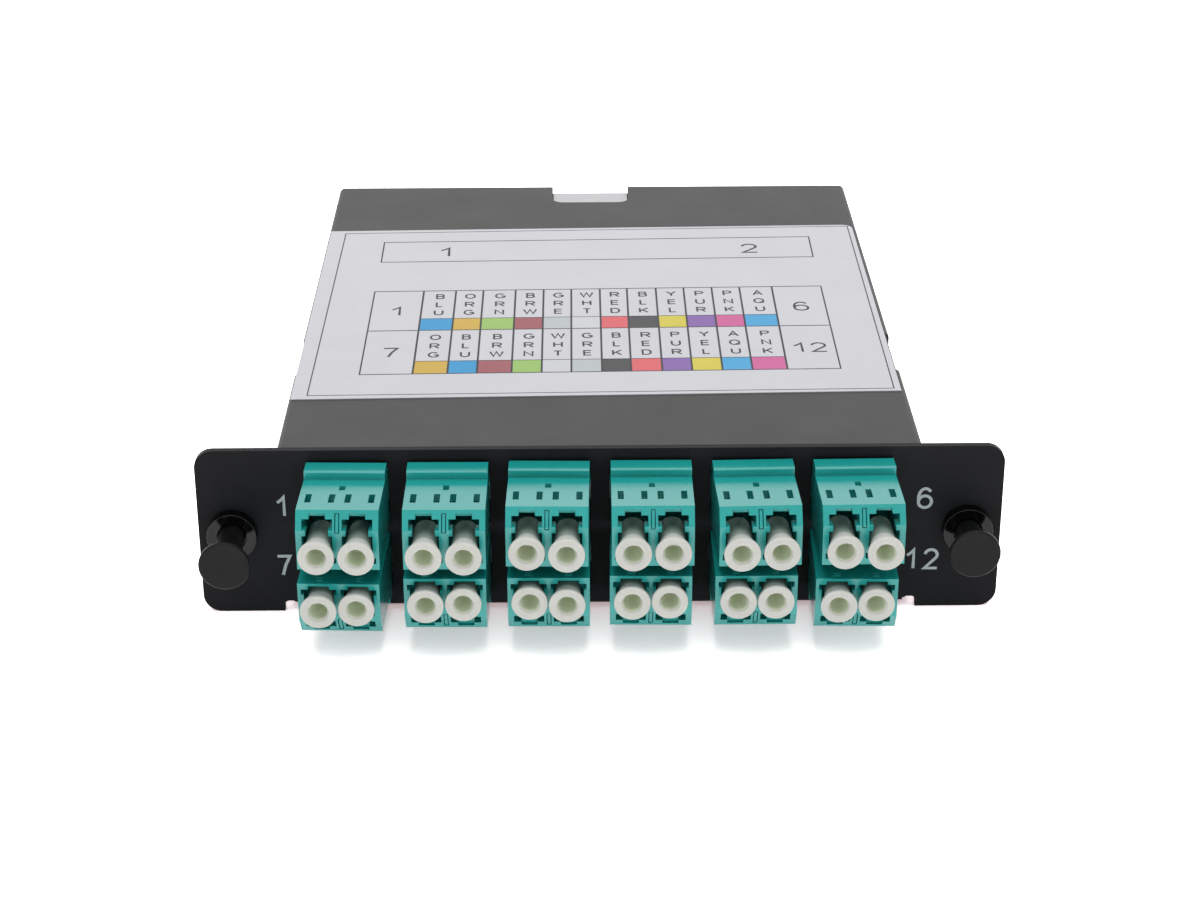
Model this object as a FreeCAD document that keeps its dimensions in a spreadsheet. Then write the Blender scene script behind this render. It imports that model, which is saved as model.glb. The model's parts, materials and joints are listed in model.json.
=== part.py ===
import FreeCAD, Part

import math
import os
import re

import Sketcher

# Fibre cassette for a patch panel
# A folded steel box stands behind a flat front plate. The plate holds twelve duplex adapters in two rows of
# six, the lower row upside down, and two push-pull latches. The rear wall holds two multi-fibre adapters.
# All sub-parts are drawn in the plate's frame, with x across the middle, y = 0 on the plate's front face and
# growing towards the rear, and z = 0 on the lower edge of the plate's ears. One shift along y then puts the
# origin under the middle of the whole cassette.

doc = FreeCAD.newDocument("fibre_cassette")
sheet = doc.addObject("Spreadsheet::Sheet", "Sizes")

# Driving dimensions, in millimetres and degrees
SIZES = {
    # Front plate and folded tray
    "plate_width": 130.0,
    "plate_height": 29.0,
    "ear_width": 13.9,
    "sheet_gauge": 1.2,
    "plate_corner": 3.0,
    "body_depth": 130.0,
    "floor_lift": 0.6,
    "bend_inside": 0.2,
    "spine_gap": 0.05,
    "relief_width": 2.1,
    "relief_height": 1.85,
    "relief_round": 0.7,
    "wall_setback": 0.6,
    "rear_flange": 11.5,
    # Cover
    "cover_gauge": 1.0,
    "cover_top": 28.1,
    "cover_gap": 0.05,
    "cover_front": 3.1,
    "skirt_depth": 9.0,
    "side_notch_front": 33.7,
    "side_notch_length": 16.3,
    "side_notch_bite": 0.75,
    "side_notch_depth": 6.0,
    "rear_notch_width": 15.4,
    "rear_notch_offset": -0.4,
    "rear_notch_depth": 9.5,
    "rear_notch_round": 2.3,
    # Paper label and seal
    "paper": 0.15,
    "label_margin": 0.75,
    "label_depth": 81.8,
    "label_front": 21.9,
    "label_offset": -0.25,
    "label_skew": 2.0,
    "label_round": 2.0,
    "seal_gap": 0.15,
    # Duplex adapter
    "adapter_width": 12.9,
    "adapter_height": 9.55,
    "adapter_reach": 16.16,
    "adapter_tail": 10.6,
    "slant_rise": 2.85,
    "slant_run": 1.76,
    "stop_height": 1.43,
    "stop_length": 3.3,
    "stop_gap": 0.55,
    "stop_round": 0.25,
    "barb_height": 0.5,
    "barb_length": 3.4,
    "barb_width": 3.0,
    "barb_gap": 0.45,
    "cutout_gap": 0.15,
    # Port outline, widths and heights above the side away from the latch
    "port_pitch": 6.25,
    "port_axis": 3.33,
    "keel_width": 3.3,
    "keel_low": 0.45,
    "port_low": 1.05,
    "pocket_width": 5.6,
    "pocket_high": 2.0,
    "port_width": 4.75,
    "tab_width": 3.55,
    "tab_low": 5.8,
    "tab_high": 6.75,
    "port_high": 8.27,
    "latch_width": 2.55,
    "latch_high": 9.08,
    "lip_depth": 2.2,
    "mid_wall": 2.0,
    # Windows and grooves in the adapter's walls
    "window_width": 0.95,
    "window_length": 2.9,
    "window_front": 11.9,
    "window_spread": 3.7,
    "centre_window_length": 1.6,
    "centre_window_front": 7.6,
    "centre_window_depth": 0.8,
    "keel_window_width": 1.2,
    "keel_window_length": 1.2,
    "keel_window_front": 15.4,
    "groove_width": 0.75,
    "groove_low": 6.3,
    "groove_depth": 2.3,
    # Rows and columns
    "column_pitch": 16.2,
    "column_margin": 1.0,
    "row_middle": 15.175,
    "row_pitch": 11.5,
    # Dust cap
    "cap_sides": 12.0,
    "cap_shaft_sides": 8.0,
    "cap_head": 5.7,
    "cap_head_length": 1.9,
    "cap_shaft": 4.2,
    "cap_length": 9.5,
    "cap_hole": 3.0,
    "cap_hole_depth": 5.0,
    "cap_stand": 2.85,
    "cap_crowd_upper": 0.02,
    "cap_crowd_lower": 0.19,
    # Push-pull latch
    "latch_edge": 5.55,
    "latch_height": 14.5,
    "grommet_flange": 8.1,
    "grommet_flange_length": 2.0,
    "grommet_barrel": 6.4,
    "grommet_barrel_end": 6.5,
    "grommet_neck": 6.9,
    "grommet_neck_end": 1.3,
    "grommet_gap": 0.05,
    "grommet_slit": 0.8,
    "grommet_slit_start": 2.4,
    "plunger_gap": 0.1,
    "plunger_head": 8.2,
    "plunger_head_length": 1.3,
    "plunger_shank": 4.4,
    "plunger_catch_width": 5.4,
    "plunger_catch_height": 1.6,
    "plunger_catch_length": 1.0,
    "plunger_catch_gap": 0.2,
    "plunger_out_left": 12.1,
    "plunger_out_right": 9.9,
    # Rear multi-fibre adapter, its cap and the plug behind it
    "mpo_spacing": 58.6,
    "mpo_height": 14.3,
    "mpo_width": 12.9,
    "mpo_thickness": 9.4,
    "mpo_gap": 0.1,
    "mpo_flange_width": 16.4,
    "mpo_flange_thickness": 11.0,
    "mpo_flange": 1.6,
    "mpo_nose": 9.4,
    "mpo_tail": 12.4,
    "mpo_port_width": 10.2,
    "mpo_port_height": 7.0,
    "mpo_port_depth": 9.0,
    "mpo_key_width": 2.7,
    "mpo_key_height": 0.6,
    "mpo_cap_head_width": 12.2,
    "mpo_cap_head_height": 8.8,
    "mpo_cap_head_length": 4.6,
    "mpo_cap_waist": 1.2,
    "mpo_cap_insert": 7.0,
    "mpo_cap_gap": 0.15,
    "mpo_plug_length": 18.0,
    # Inner plugs, harness and its stand
    "lc_plug_width": 4.4,
    "lc_plug_front": 3.0,
    "lc_plug_body": 10.0,
    "lc_latch_width": 2.2,
    "lc_latch_height": 1.0,
    "lc_housing_length": 6.0,
    "lc_housing_height": 5.4,
    "lc_boot_length": 7.0,
    "lc_boot_width": 3.0,
    "leg_width": 1.6,
    "leg_gap": 0.1,
    "leg_pitch": 1.9,
    "leg_bend": 8.0,
    "leg_straight": 5.0,
    "leg_stagger": 2.0,
    "block_offset": 0.725,
    "block_width": 13.6,
    "block_height": 4.0,
    "block_length": 12.0,
    "trunk_width": 3.0,
    "trunk_bend": 12.0,
    "trunk_lead": 9.0,
    "joint_sink": 1.0,
    "stand_wall": 1.5,
    "stand_length": 9.0,
}

# How each adapter leans in its cut-out, in degrees: to the right and down at its front end
LEAN_RIGHT = [-1.75, -0.58, -1.31, -0.26, 1.65, 1.10, -2.36, -0.85, -0.73, -1.29, -0.06, -1.54]
LEAN_DOWN = [0.49, 0.91, -0.58, -0.52, -0.09, -0.40, 2.22, -0.10, -0.10, -0.76, -0.46, 1.61]

# How much further out each dust cap stands than the common value
CAP_SEAT = [
    -0.06, 0.04, -0.02, 0.08, -0.37, 0.20, 0.02, -0.12, 0.06, -0.04, -0.28, 0.27,
    0.32, -0.41, 0.24, -0.39, -0.57, 0.24, 0.10, -0.37, -0.17, -0.15, 0.16, -0.37,
]
SEAT_LIMIT = max(CAP_SEAT)


def fill_sheet():
    """Write every size as plain text with its name as the cell's alias."""
    rows = dict(SIZES)
    for number, (right, down) in enumerate(zip(LEAN_RIGHT, LEAN_DOWN), 1):
        rows["lean_right_%02d" % number] = right
        rows["lean_down_%02d" % number] = down
    for number, seat in enumerate(CAP_SEAT, 1):
        rows["seat_%02d" % number] = seat
    for row, (alias, size) in enumerate(rows.items(), 1):
        sheet.set("A%d" % row, alias)
        sheet.set("B%d" % row, str(size))
        sheet.setAlias("B%d" % row, alias)
    doc.recompute()
    return set(rows)


ALIASES = fill_sheet()

# Sizes that follow from the driving ones, as expressions on the sheet's names
DERIVED = {
    "tray_width": "(plate_width - 2 * ear_width)",
    "spine_width": "(tray_width - 2 * (bend_outside + spine_gap))",
    "bend_outside": "(bend_inside + sheet_gauge)",
    "floor_top": "(floor_lift + sheet_gauge)",
    "tray_top": "(cover_top - cover_gauge - cover_gap)",
    "cover_width": "(tray_width + 2 * cover_gauge + 2 * cover_gap)",
    "label_width": "(cover_width - 2 * label_margin)",
    "columns": "(floor((spine_width - adapter_width - 2 * column_margin) / column_pitch) + 1)",
    "half_height": "(adapter_height / 2)",
    "row_upper": "(row_middle + row_pitch / 2)",
    "row_lower": "(row_middle - row_pitch / 2)",
    "axis_offset": "(port_axis - adapter_height / 2)",
    "mid_wall_front": "((adapter_reach - adapter_tail + mid_wall) / 2)",
    "latch_spacing": "(plate_width - 2 * latch_edge)",
    "boot_rear": "(lc_plug_front + lc_plug_body + lc_housing_length + lc_boot_length + leg_gap)",
    "mpo_plug_depth": "(mpo_tail - mpo_port_depth + mpo_cap_gap + mpo_plug_length)",
    "block_front": "((boot_rear + body_depth - mpo_plug_depth - block_length) / 2 + block_offset)",
    "shift": "((adapter_reach + cap_stand + %g - body_depth - mpo_flange - mpo_nose"
             " - mpo_cap_waist - mpo_cap_head_length) / 2)" % SEAT_LIMIT,
}


NAME = r"[a-z][a-z0-9_]*"


def expression(text):
    """Spell out the derived names and put the sheet's name before each alias."""
    spelled = ""
    while spelled != text:
        spelled = text
        text = re.sub(NAME, lambda m: DERIVED.get(m.group(0), m.group(0)), text)
    return re.sub(NAME, lambda m: "Sizes." + m.group(0) if m.group(0) in ALIASES else m.group(0), text)


def size(text):
    """The number that an expression on the sheet's names stands for."""
    return float(sheet.evalExpression(expression(str(text))))


def bind(item, prop, text):
    """Tie a property to the sheet."""
    item.setExpression(prop, expression(str(text)))


# Helpers for bodies and sketches


def new_body(label):
    """A body whose place follows the common shift along y."""
    body = doc.addObject("PartDesign::Body", label)
    body.Label = label
    return body


def place_body(body):
    """Move a finished body from the plate's frame to the cassette's own frame."""
    bind(body, "Placement.Base.y", "shift")
    return body


def origin_feature(body, role):
    """One of the body's own origin planes or axes."""
    return [item for item in body.Origin.OriginFeatures if item.Role == role][0]


def sketch_on(body, name, role, lift):
    """An empty sketch on an origin plane, lifted along the plane's normal."""
    sketch = body.newObject("Sketcher::SketchObject", name)
    sketch.AttachmentSupport = [(origin_feature(body, role), "")]
    sketch.MapMode = "FlatFace"
    bind(sketch, "AttachmentOffset.Base.z", lift)
    return sketch


def add_outline(sketch, points):
    """A closed outline of straight lines whose corners are tied to the sheet, as (x, y) expressions."""
    first = sketch.GeometryCount
    places = [FreeCAD.Vector(size(x), size(y), 0) for x, y in points]
    count = len(places)
    for k in range(count):
        sketch.addGeometry(Part.LineSegment(places[k], places[(k + 1) % count]), False)
    for k in range(count):
        after = first + (k + 1) % count
        sketch.addConstraint(Sketcher.Constraint("Coincident", first + k, 2, after, 1))
    for k, (x, y) in enumerate(points):
        for kind, text, value in (("DistanceX", x, places[k].x), ("DistanceY", y, places[k].y)):
            index = sketch.addConstraint(Sketcher.Constraint(kind, -1, 1, first + k, 1, value))
            bind(sketch, "Constraints[%d]" % index, text)


def add_circle(sketch, x, y, radius):
    """A circle whose centre and radius are tied to the sheet."""
    centre = FreeCAD.Vector(size(x), size(y), 0)
    circle = Part.Circle(centre, FreeCAD.Vector(0, 0, 1), size(radius))
    item = sketch.addGeometry(circle, False)
    for kind, text, value in (("DistanceX", x, centre.x), ("DistanceY", y, centre.y)):
        index = sketch.addConstraint(Sketcher.Constraint(kind, -1, 1, item, 3, value))
        bind(sketch, "Constraints[%d]" % index, text)
    index = sketch.addConstraint(Sketcher.Constraint("Radius", item, size(radius)))
    bind(sketch, "Constraints[%d]" % index, radius)


def settle(feature):
    """Recompute and stop with FreeCAD's own words if the feature failed."""
    doc.recompute()
    for item in doc.Objects:
        if "Invalid" in item.State or "Error" in item.State:
            raise RuntimeError("%s: %s" % (item.Label, item.getStatusString()))
    return feature


def rectangle(x_low, x_high, y_low, y_high):
    """The corners of an upright rectangle, for add_outline."""
    return [(x_low, y_low), (x_high, y_low), (x_high, y_high), (x_low, y_high)]


def extrude(body, kind, name, sketch, length, reverse=False, middle=False):
    """A pad or pocket of the sketch, with a check that it changed the body."""
    before = body.Shape.Volume if body.Tip else 0.0
    feature = body.newObject("PartDesign::" + kind, name)
    feature.Profile = sketch
    bind(feature, "Length", length)
    feature.Reversed = reverse
    feature.Midplane = middle
    settle(feature)
    if abs(body.Shape.Volume - before) < 1e-6:
        raise RuntimeError("%s changed nothing: %s" % (name, feature.AddSubShape.BoundBox))
    return feature


def revolve(body, name, points):
    """A solid turned about the y axis from an outline of (y, radius) points."""
    sketch = sketch_on(body, name + "_outline", "YZ_Plane", "0")
    add_outline(sketch, points)
    feature = body.newObject("PartDesign::Revolution", name)
    feature.Profile = sketch
    feature.ReferenceAxis = (sketch, ["H_Axis"])
    feature.Angle = 360
    doc.recompute()
    return feature


def mirror_across(body, name, originals):
    """The same features on the other side of the body's middle plane."""
    feature = body.newObject("PartDesign::Mirrored", name)
    feature.Originals = originals
    feature.MirrorPlane = (origin_feature(body, "YZ_Plane"), [""])
    body.Tip = feature
    doc.recompute()
    return feature


def straight_edges(shape, axis, test):
    """Names of the straight edges along an axis whose middle passes the test."""
    names = []
    for number, edge in enumerate(shape.Edges, 1):
        if len(edge.Vertexes) != 2:
            continue
        run = edge.Vertexes[1].Point - edge.Vertexes[0].Point
        if run.Length < 1e-6 or abs(abs(getattr(run, axis)) - run.Length) > 1e-6:
            continue
        if test(edge.CenterOfMass):
            names.append("Edge%d" % number)
    return names


def near(a, b):
    """Two lengths agree."""
    return abs(a - b) < 1e-4


def round_edges(body, name, radius, axis, test):
    """A fillet on the edges that a test picks, with a radius tied to the sheet."""
    edges = straight_edges(body.Shape, axis, test)
    if not edges:
        raise RuntimeError(name + " found no edges")
    base = body.Tip
    feature = body.newObject("PartDesign::Fillet", name)
    feature.Base = (base, edges)
    bind(feature, "Radius", radius)
    settle(feature)
    if not feature.Shape.isValid():
        raise RuntimeError(name + " gave a shape that isn't valid")
    return feature


# Folded tray: front plate, floor, side walls, rear wall and flange in one sheet


def make_base_tray():
    """The plate carries on through a bend into the floor, and the floor into three upright walls."""
    body = new_body("base_tray")
    half = "plate_width / 2"
    notch_in = "spine_width / 2"
    notch_out = "(spine_width / 2 + relief_width)"
    spine_start = "(floor_lift + bend_outside)"

    strip = sketch_on(body, "spine_outline", "YZ_Plane", "0")
    add_outline(strip, [
        ("0", spine_start + " + sheet_gauge"), ("0", "floor_lift"), ("body_depth", "floor_lift"),
        ("body_depth", "tray_top"), ("body_depth - rear_flange", "tray_top"),
        ("body_depth - rear_flange", "tray_top - sheet_gauge"),
        ("body_depth - sheet_gauge", "tray_top - sheet_gauge"),
        ("body_depth - sheet_gauge", "floor_top"), ("sheet_gauge", "floor_top"),
        ("sheet_gauge", spine_start + " + sheet_gauge")])
    extrude(body, "Pad", "spine", strip, "spine_width", middle=True)
    depth, low, high = size("body_depth"), size("floor_lift"), size("tray_top")
    gauge = size("sheet_gauge")
    round_edges(body, "outer_bends", "bend_outside", "x",
                lambda c: (near(c.z, low) and (near(c.y, 0) or near(c.y, depth)))
                or (near(c.y, depth) and near(c.z, high)))
    round_edges(body, "inner_bends", "bend_inside", "x",
                lambda c: (near(c.z, low + gauge) and (near(c.y, gauge) or near(c.y, depth - gauge)))
                or (near(c.y, depth - gauge) and near(c.z, high - gauge)))

    face = sketch_on(body, "plate_outline", "XZ_Plane", "0")
    right = [(notch_in, spine_start), (notch_in, "relief_height"), (notch_out, "relief_height"),
             (notch_out, "0"), (half, "0"), (half, "plate_height")]
    left = [("-1 * (%s)" % x, z) for x, z in reversed(right)]
    add_outline(face, right + left)
    extrude(body, "Pad", "plate", face, "sheet_gauge", reverse=True)
    top = size("plate_height")
    round_edges(body, "plate_corners", "plate_corner", "y",
                lambda c: near(abs(c.x), size(half)) and (near(c.z, 0) or near(c.z, top)))
    round_edges(body, "relief_tops", "relief_round", "y",
                lambda c: near(abs(c.x), size(notch_out)) and near(c.z, size("relief_height")))

    trough = sketch_on(body, "trough_outline", "XZ_Plane", "-1 * (sheet_gauge + wall_setback)")
    outer, inner = "(tray_width / 2)", "(tray_width / 2 - sheet_gauge)"
    add_outline(trough, [
        ("-1 * " + outer, "tray_top"), ("-1 * " + outer, "floor_lift"), (outer, "floor_lift"),
        (outer, "tray_top"), (inner, "tray_top"), (inner, "floor_top"),
        ("-1 * " + inner, "floor_top"), ("-1 * " + inner, "tray_top")])
    extrude(body, "Pad", "trough", trough, "body_depth - 2 * (sheet_gauge + wall_setback)", reverse=True)
    wall = size(outer)
    round_edges(body, "outer_wall_bends", "bend_outside", "y",
                lambda c: near(abs(c.x), wall) and near(c.z, low))
    round_edges(body, "inner_wall_bends", "bend_inside", "y",
                lambda c: near(abs(c.x), wall - gauge) and near(c.z, low + gauge))

    first = "(-1 * (columns - 1) * column_pitch / 2)"
    cuts = sketch_on(body, "cutout_outline", "XZ_Plane", "0")
    wide, tall = "(adapter_width / 2 + cutout_gap)", "(adapter_height / 2 + cutout_gap)"
    for row in ("row_upper", "row_lower"):
        add_outline(cuts, rectangle(first + " - " + wide, first + " + " + wide,
                                    row + " - " + tall, row + " + " + tall))
    pocket = extrude(body, "Pocket", "cutouts", cuts, "sheet_gauge + wall_setback")
    pattern = body.newObject("PartDesign::LinearPattern", "cutout_columns")
    pattern.Originals = [pocket]
    pattern.Direction = (origin_feature(body, "X_Axis"), [""])
    bind(pattern, "Length", "(columns - 1) * column_pitch")
    bind(pattern, "Occurrences", "columns")
    body.Tip = pattern
    doc.recompute()

    holes = sketch_on(body, "latch_holes", "XZ_Plane", "0")
    for side in ("-1 * ", ""):
        add_circle(holes, side + "latch_spacing / 2", "latch_height", "grommet_neck / 2 + grommet_gap")
    extrude(body, "Pocket", "latch_hole_cut", holes, "sheet_gauge + wall_setback")

    ports = sketch_on(body, "mpo_cutouts", "XZ_Plane", "-1 * (body_depth - sheet_gauge - wall_setback)")
    wide, tall = "(mpo_width / 2 + mpo_gap)", "(mpo_thickness / 2 + mpo_gap)"
    for side in ("-1 * ", ""):
        middle = side + "mpo_spacing / 2"
        add_outline(ports, rectangle(middle + " - " + wide, middle + " + " + wide,
                                     "mpo_height - " + tall, "mpo_height + " + tall))
    extrude(body, "Pocket", "mpo_cut", ports, "sheet_gauge + 2 * wall_setback")

    return place_body(body)


# Cover: top sheet and two skirts


def make_cover():
    """The cover slides down over the tray's side walls and lies on the rear flange."""
    body = new_body("cover")
    outer, inner = "(cover_width / 2)", "(cover_width / 2 - cover_gauge)"
    low = "(cover_top - skirt_depth)"
    hood = sketch_on(body, "hood_outline", "XZ_Plane", "-1 * cover_front")
    add_outline(hood, [
        ("-1 * " + outer, low), ("-1 * " + outer, "cover_top"), (outer, "cover_top"), (outer, low),
        (inner, low), (inner, "cover_top - cover_gauge"),
        ("-1 * " + inner, "cover_top - cover_gauge"), ("-1 * " + inner, low)])
    extrude(body, "Pad", "hood", hood, "body_depth - cover_front", reverse=True)
    wall, top, gauge = size(outer), size("cover_top"), size("cover_gauge")
    round_edges(body, "outer_folds", "bend_inside + cover_gauge", "y",
                lambda c: near(abs(c.x), wall) and near(c.z, top))
    round_edges(body, "inner_folds", "bend_inside", "y",
                lambda c: near(abs(c.x), wall - gauge) and near(c.z, top - gauge))

    bite = sketch_on(body, "side_notch_outline", "YZ_Plane", outer + " - side_notch_bite")
    add_outline(bite, rectangle("side_notch_front", "side_notch_front + side_notch_length",
                                "cover_top - side_notch_depth", "cover_top + 1"))
    notch = extrude(body, "Pocket", "side_notch", bite, "2 * side_notch_bite", reverse=True)
    mirror_across(body, "side_notches", [notch])

    back = sketch_on(body, "rear_notch_outline", "XY_Plane", "cover_top + 1")
    add_outline(back, rectangle("rear_notch_offset - rear_notch_width / 2",
                                "rear_notch_offset + rear_notch_width / 2",
                                "body_depth - rear_notch_depth", "body_depth + 1"))
    extrude(body, "Pocket", "rear_notch", back, "cover_gauge + 2")
    notch_front = size("body_depth - rear_notch_depth")
    round_edges(body, "rear_notch_corners", "rear_notch_round", "z", lambda c: near(c.y, notch_front))

    return place_body(body)


# Duplex adapter: one moulding with two ports in front and two behind


def make_adapter():
    """The master adapter, about the middle of its cut-out, with its latch side up."""
    body = new_body("lc_adapter_master")
    side = sketch_on(body, "adapter_profile", "YZ_Plane", "0")
    stop_rear = "(-1 * stop_gap)"
    stop_front = "(-1 * stop_gap - stop_length)"
    stop_top = "(half_height + stop_height)"
    add_outline(side, [
        ("-1 * adapter_reach", "-1 * half_height"), ("adapter_tail", "-1 * half_height"),
        ("adapter_tail", "half_height"), (stop_rear, "half_height"), (stop_rear, stop_top),
        (stop_front + " + stop_round", stop_top), (stop_front, stop_top + " - stop_round"),
        (stop_front, "half_height"), ("slant_run - adapter_reach", "half_height"),
        ("-1 * adapter_reach", "half_height - slant_rise")])
    extrude(body, "Pad", "adapter_block", side, "adapter_width", middle=True)

    def across(width, sign):
        """One side of a width about the port's middle line."""
        return "port_pitch / 2 %s %s / 2" % (sign, width)

    def height(level):
        """A level above the side away from the latch, in the adapter's own frame."""
        return "%s - half_height" % level

    steps = [("keel_width", "keel_low"), ("keel_width", "port_low"), ("pocket_width", "port_low"),
             ("pocket_width", "pocket_high"), ("port_width", "pocket_high"), ("port_width", "tab_low"),
             ("tab_width", "tab_low"), ("tab_width", "tab_high"), ("port_width", "tab_high"),
             ("port_width", "port_high"), ("latch_width", "port_high"), ("latch_width", "latch_high")]
    mouth = sketch_on(body, "mouth_outline", "XZ_Plane", "adapter_reach")
    add_outline(mouth, [(across(w, "+"), height(v)) for w, v in steps]
                + [(across(w, "-"), height(v)) for w, v in reversed(steps)])
    mouth_cut = extrude(body, "Pocket", "mouth", mouth, "lip_depth")

    bore = rectangle(across("port_width", "-"), across("port_width", "+"),
                     height("port_low"), height("port_high"))
    front = sketch_on(body, "front_bore_outline", "XZ_Plane", "adapter_reach - lip_depth")
    add_outline(front, bore)
    front_cut = extrude(body, "Pocket", "front_bore", front, "adapter_reach - lip_depth - mid_wall_front")
    rear = sketch_on(body, "rear_bore_outline", "XZ_Plane", "-1 * adapter_tail")
    add_outline(rear, bore)
    rear_cut = extrude(body, "Pocket", "rear_bore", rear,
                       "adapter_tail + mid_wall_front - mid_wall", reverse=True)

    top = sketch_on(body, "window_outline", "XY_Plane", "half_height")
    for sign in ("-", "+"):
        middle = "port_pitch / 2 %s window_spread / 2" % sign
        add_outline(top, rectangle(middle + " - window_width / 2", middle + " + window_width / 2",
                                   "-1 * window_front", "window_length - window_front"))
    top_cut = extrude(body, "Pocket", "windows", top, "adapter_height - port_high + lip_depth / 2")

    under = sketch_on(body, "keel_window_outline", "XY_Plane", "-1 * half_height")
    add_outline(under, rectangle(across("keel_window_width", "-"), across("keel_window_width", "+"),
                                 "-1 * keel_window_front", "keel_window_length - keel_window_front"))
    under_cut = extrude(body, "Pocket", "keel_window", under, "port_low", reverse=True)

    barb = sketch_on(body, "barb_outline", "XY_Plane", "0")
    barb_front = "(sheet_gauge + barb_gap)"
    add_outline(barb, [
        ("adapter_width / 2 - barb_height", barb_front), ("adapter_width / 2 + barb_height", barb_front),
        ("adapter_width / 2", barb_front + " + barb_length"),
        ("adapter_width / 2 - barb_height", barb_front + " + barb_length")])
    barb_pad = extrude(body, "Pad", "barb", barb, "barb_width", middle=True)
    mirror_across(body, "second_port", [mouth_cut, front_cut, rear_cut, top_cut, under_cut, barb_pad])

    middle = sketch_on(body, "centre_window_outline", "XY_Plane", "half_height")
    add_outline(middle, rectangle("-1 * window_width / 2", "window_width / 2",
                                  "-1 * centre_window_front", "centre_window_length - centre_window_front"))
    extrude(body, "Pocket", "centre_window", middle, "centre_window_depth")
    groove = sketch_on(body, "groove_outline", "XZ_Plane", "adapter_reach")
    add_outline(groove, rectangle("-1 * groove_width / 2", "groove_width / 2",
                                  height("groove_low"), height("latch_high")))
    extrude(body, "Pocket", "groove", groove, "groove_depth")
    return body


def adapter_place(number):
    """Where an adapter sits: its column and row, upside down below, and its lean about the plate. With more
    adapters than were measured, the leans come round again."""
    column = (number - 1) % int(size("columns"))
    upper = number <= int(size("columns"))
    x = (column - (size("columns") - 1) / 2) * size("column_pitch")
    z = size("row_upper") if upper else size("row_lower")
    pivot = size("sheet_gauge / 2")
    measured = (number - 1) % len(LEAN_RIGHT) + 1
    lean = (FreeCAD.Rotation(FreeCAD.Vector(0, 0, 1), size("lean_right_%02d" % measured))
            * FreeCAD.Rotation(FreeCAD.Vector(1, 0, 0), size("lean_down_%02d" % measured)))
    turn = FreeCAD.Rotation(FreeCAD.Vector(0, 1, 0), 0 if upper else 180)
    seat = FreeCAD.Placement(FreeCAD.Vector(x, size("shift") + pivot, z), lean * turn)
    return seat * FreeCAD.Placement(FreeCAD.Vector(0, -pivot, 0), FreeCAD.Rotation())


def adapter_numbers():
    """The first half of the adapters stand in the upper row and the others in the lower row."""
    return range(1, 2 * int(size("columns")) + 1)


def add_copy(label, master, place):
    """A copy of a master solid at its own place, linked so that it follows the master's sizes."""
    copy = doc.addObject("App::Link", label)
    copy.LinkedObject = master
    copy.Label = label
    copy.Placement = place
    return copy


def port_places(number):
    """The two port axes of one adapter, left then right as the front shows them."""
    place = adapter_place(number)
    upper = number <= int(size("columns"))
    for side in (-1, 1):
        own = side if upper else -side
        yield side, own, place, upper


# Dust cap


def ring(radius, sides):
    """A regular outline whose corners lie on a circle, for the round faces that repeat most."""
    count = int(size(sides))
    turns = [2 * math.pi * (k + 0.5) / count for k in range(count)]
    return [("%.9f * (%s)" % (math.cos(turn), radius), "%.9f * (%s)" % (math.sin(turn), radius))
            for turn in turns]


def make_dust_cap():
    """A flat head with a blind hole, and a plain shaft, with the head's front face at y = 0."""
    body = new_body("dust_cap_master")
    head = sketch_on(body, "cap_head_outline", "XZ_Plane", "0")
    add_outline(head, ring("cap_head / 2", "cap_sides"))
    extrude(body, "Pad", "cap_head_pad", head, "cap_head_length", reverse=True)
    shaft = sketch_on(body, "cap_shaft_outline", "XZ_Plane", "-1 * cap_head_length")
    add_outline(shaft, ring("cap_shaft / 2", "cap_shaft_sides"))
    extrude(body, "Pad", "cap_shaft_pad", shaft, "cap_length - cap_head_length", reverse=True)
    hole = sketch_on(body, "cap_hole_outline", "XZ_Plane", "0")
    add_outline(hole, ring("cap_hole / 2", "cap_shaft_sides"))
    extrude(body, "Pocket", "cap_hole_cut", hole, "cap_hole_depth")
    return body


def add_dust_caps(master):
    """One cap in each port; the lower ones crowd towards the middle of their adapter."""
    caps = []
    for number in adapter_numbers():
        for side, own, place, upper in port_places(number):
            index = len(caps) + 1
            crowd = size("cap_crowd_upper") if upper else size("cap_crowd_lower")
            x = own * (size("port_pitch / 2") - crowd)
            measured = (index - 1) % len(CAP_SEAT) + 1
            y = -size("adapter_reach + cap_stand") - size("seat_%02d" % measured)
            z = size("axis_offset")
            local = FreeCAD.Placement(FreeCAD.Vector(x, y, z), FreeCAD.Rotation())
            caps.append(add_copy("dust_cap_%02d" % index, master, place * local))
    return caps


# Push-pull latches


def make_grommet():
    """A flanged grommet, a neck in the plate's hole and a barrel slit into two legs, flange at y = 0."""
    body = new_body("latch_grommet_master")
    bore = "(plunger_shank / 2 + plunger_gap)"
    revolve(body, "grommet", [
        ("-1 * grommet_flange_length", bore), ("-1 * grommet_flange_length", "grommet_flange / 2"),
        ("0", "grommet_flange / 2"), ("0", "grommet_neck / 2"), ("grommet_neck_end", "grommet_neck / 2"),
        ("grommet_neck_end", "grommet_barrel / 2"), ("grommet_barrel_end", "grommet_barrel / 2"),
        ("grommet_barrel_end", bore)])
    slit = sketch_on(body, "slit_outline", "XY_Plane", "0")
    add_outline(slit, rectangle("-1 * grommet_barrel", "grommet_barrel",
                                "grommet_slit_start", "grommet_barrel_end + grommet_slit"))
    extrude(body, "Pocket", "slit", slit, "grommet_slit", middle=True)
    return body


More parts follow.
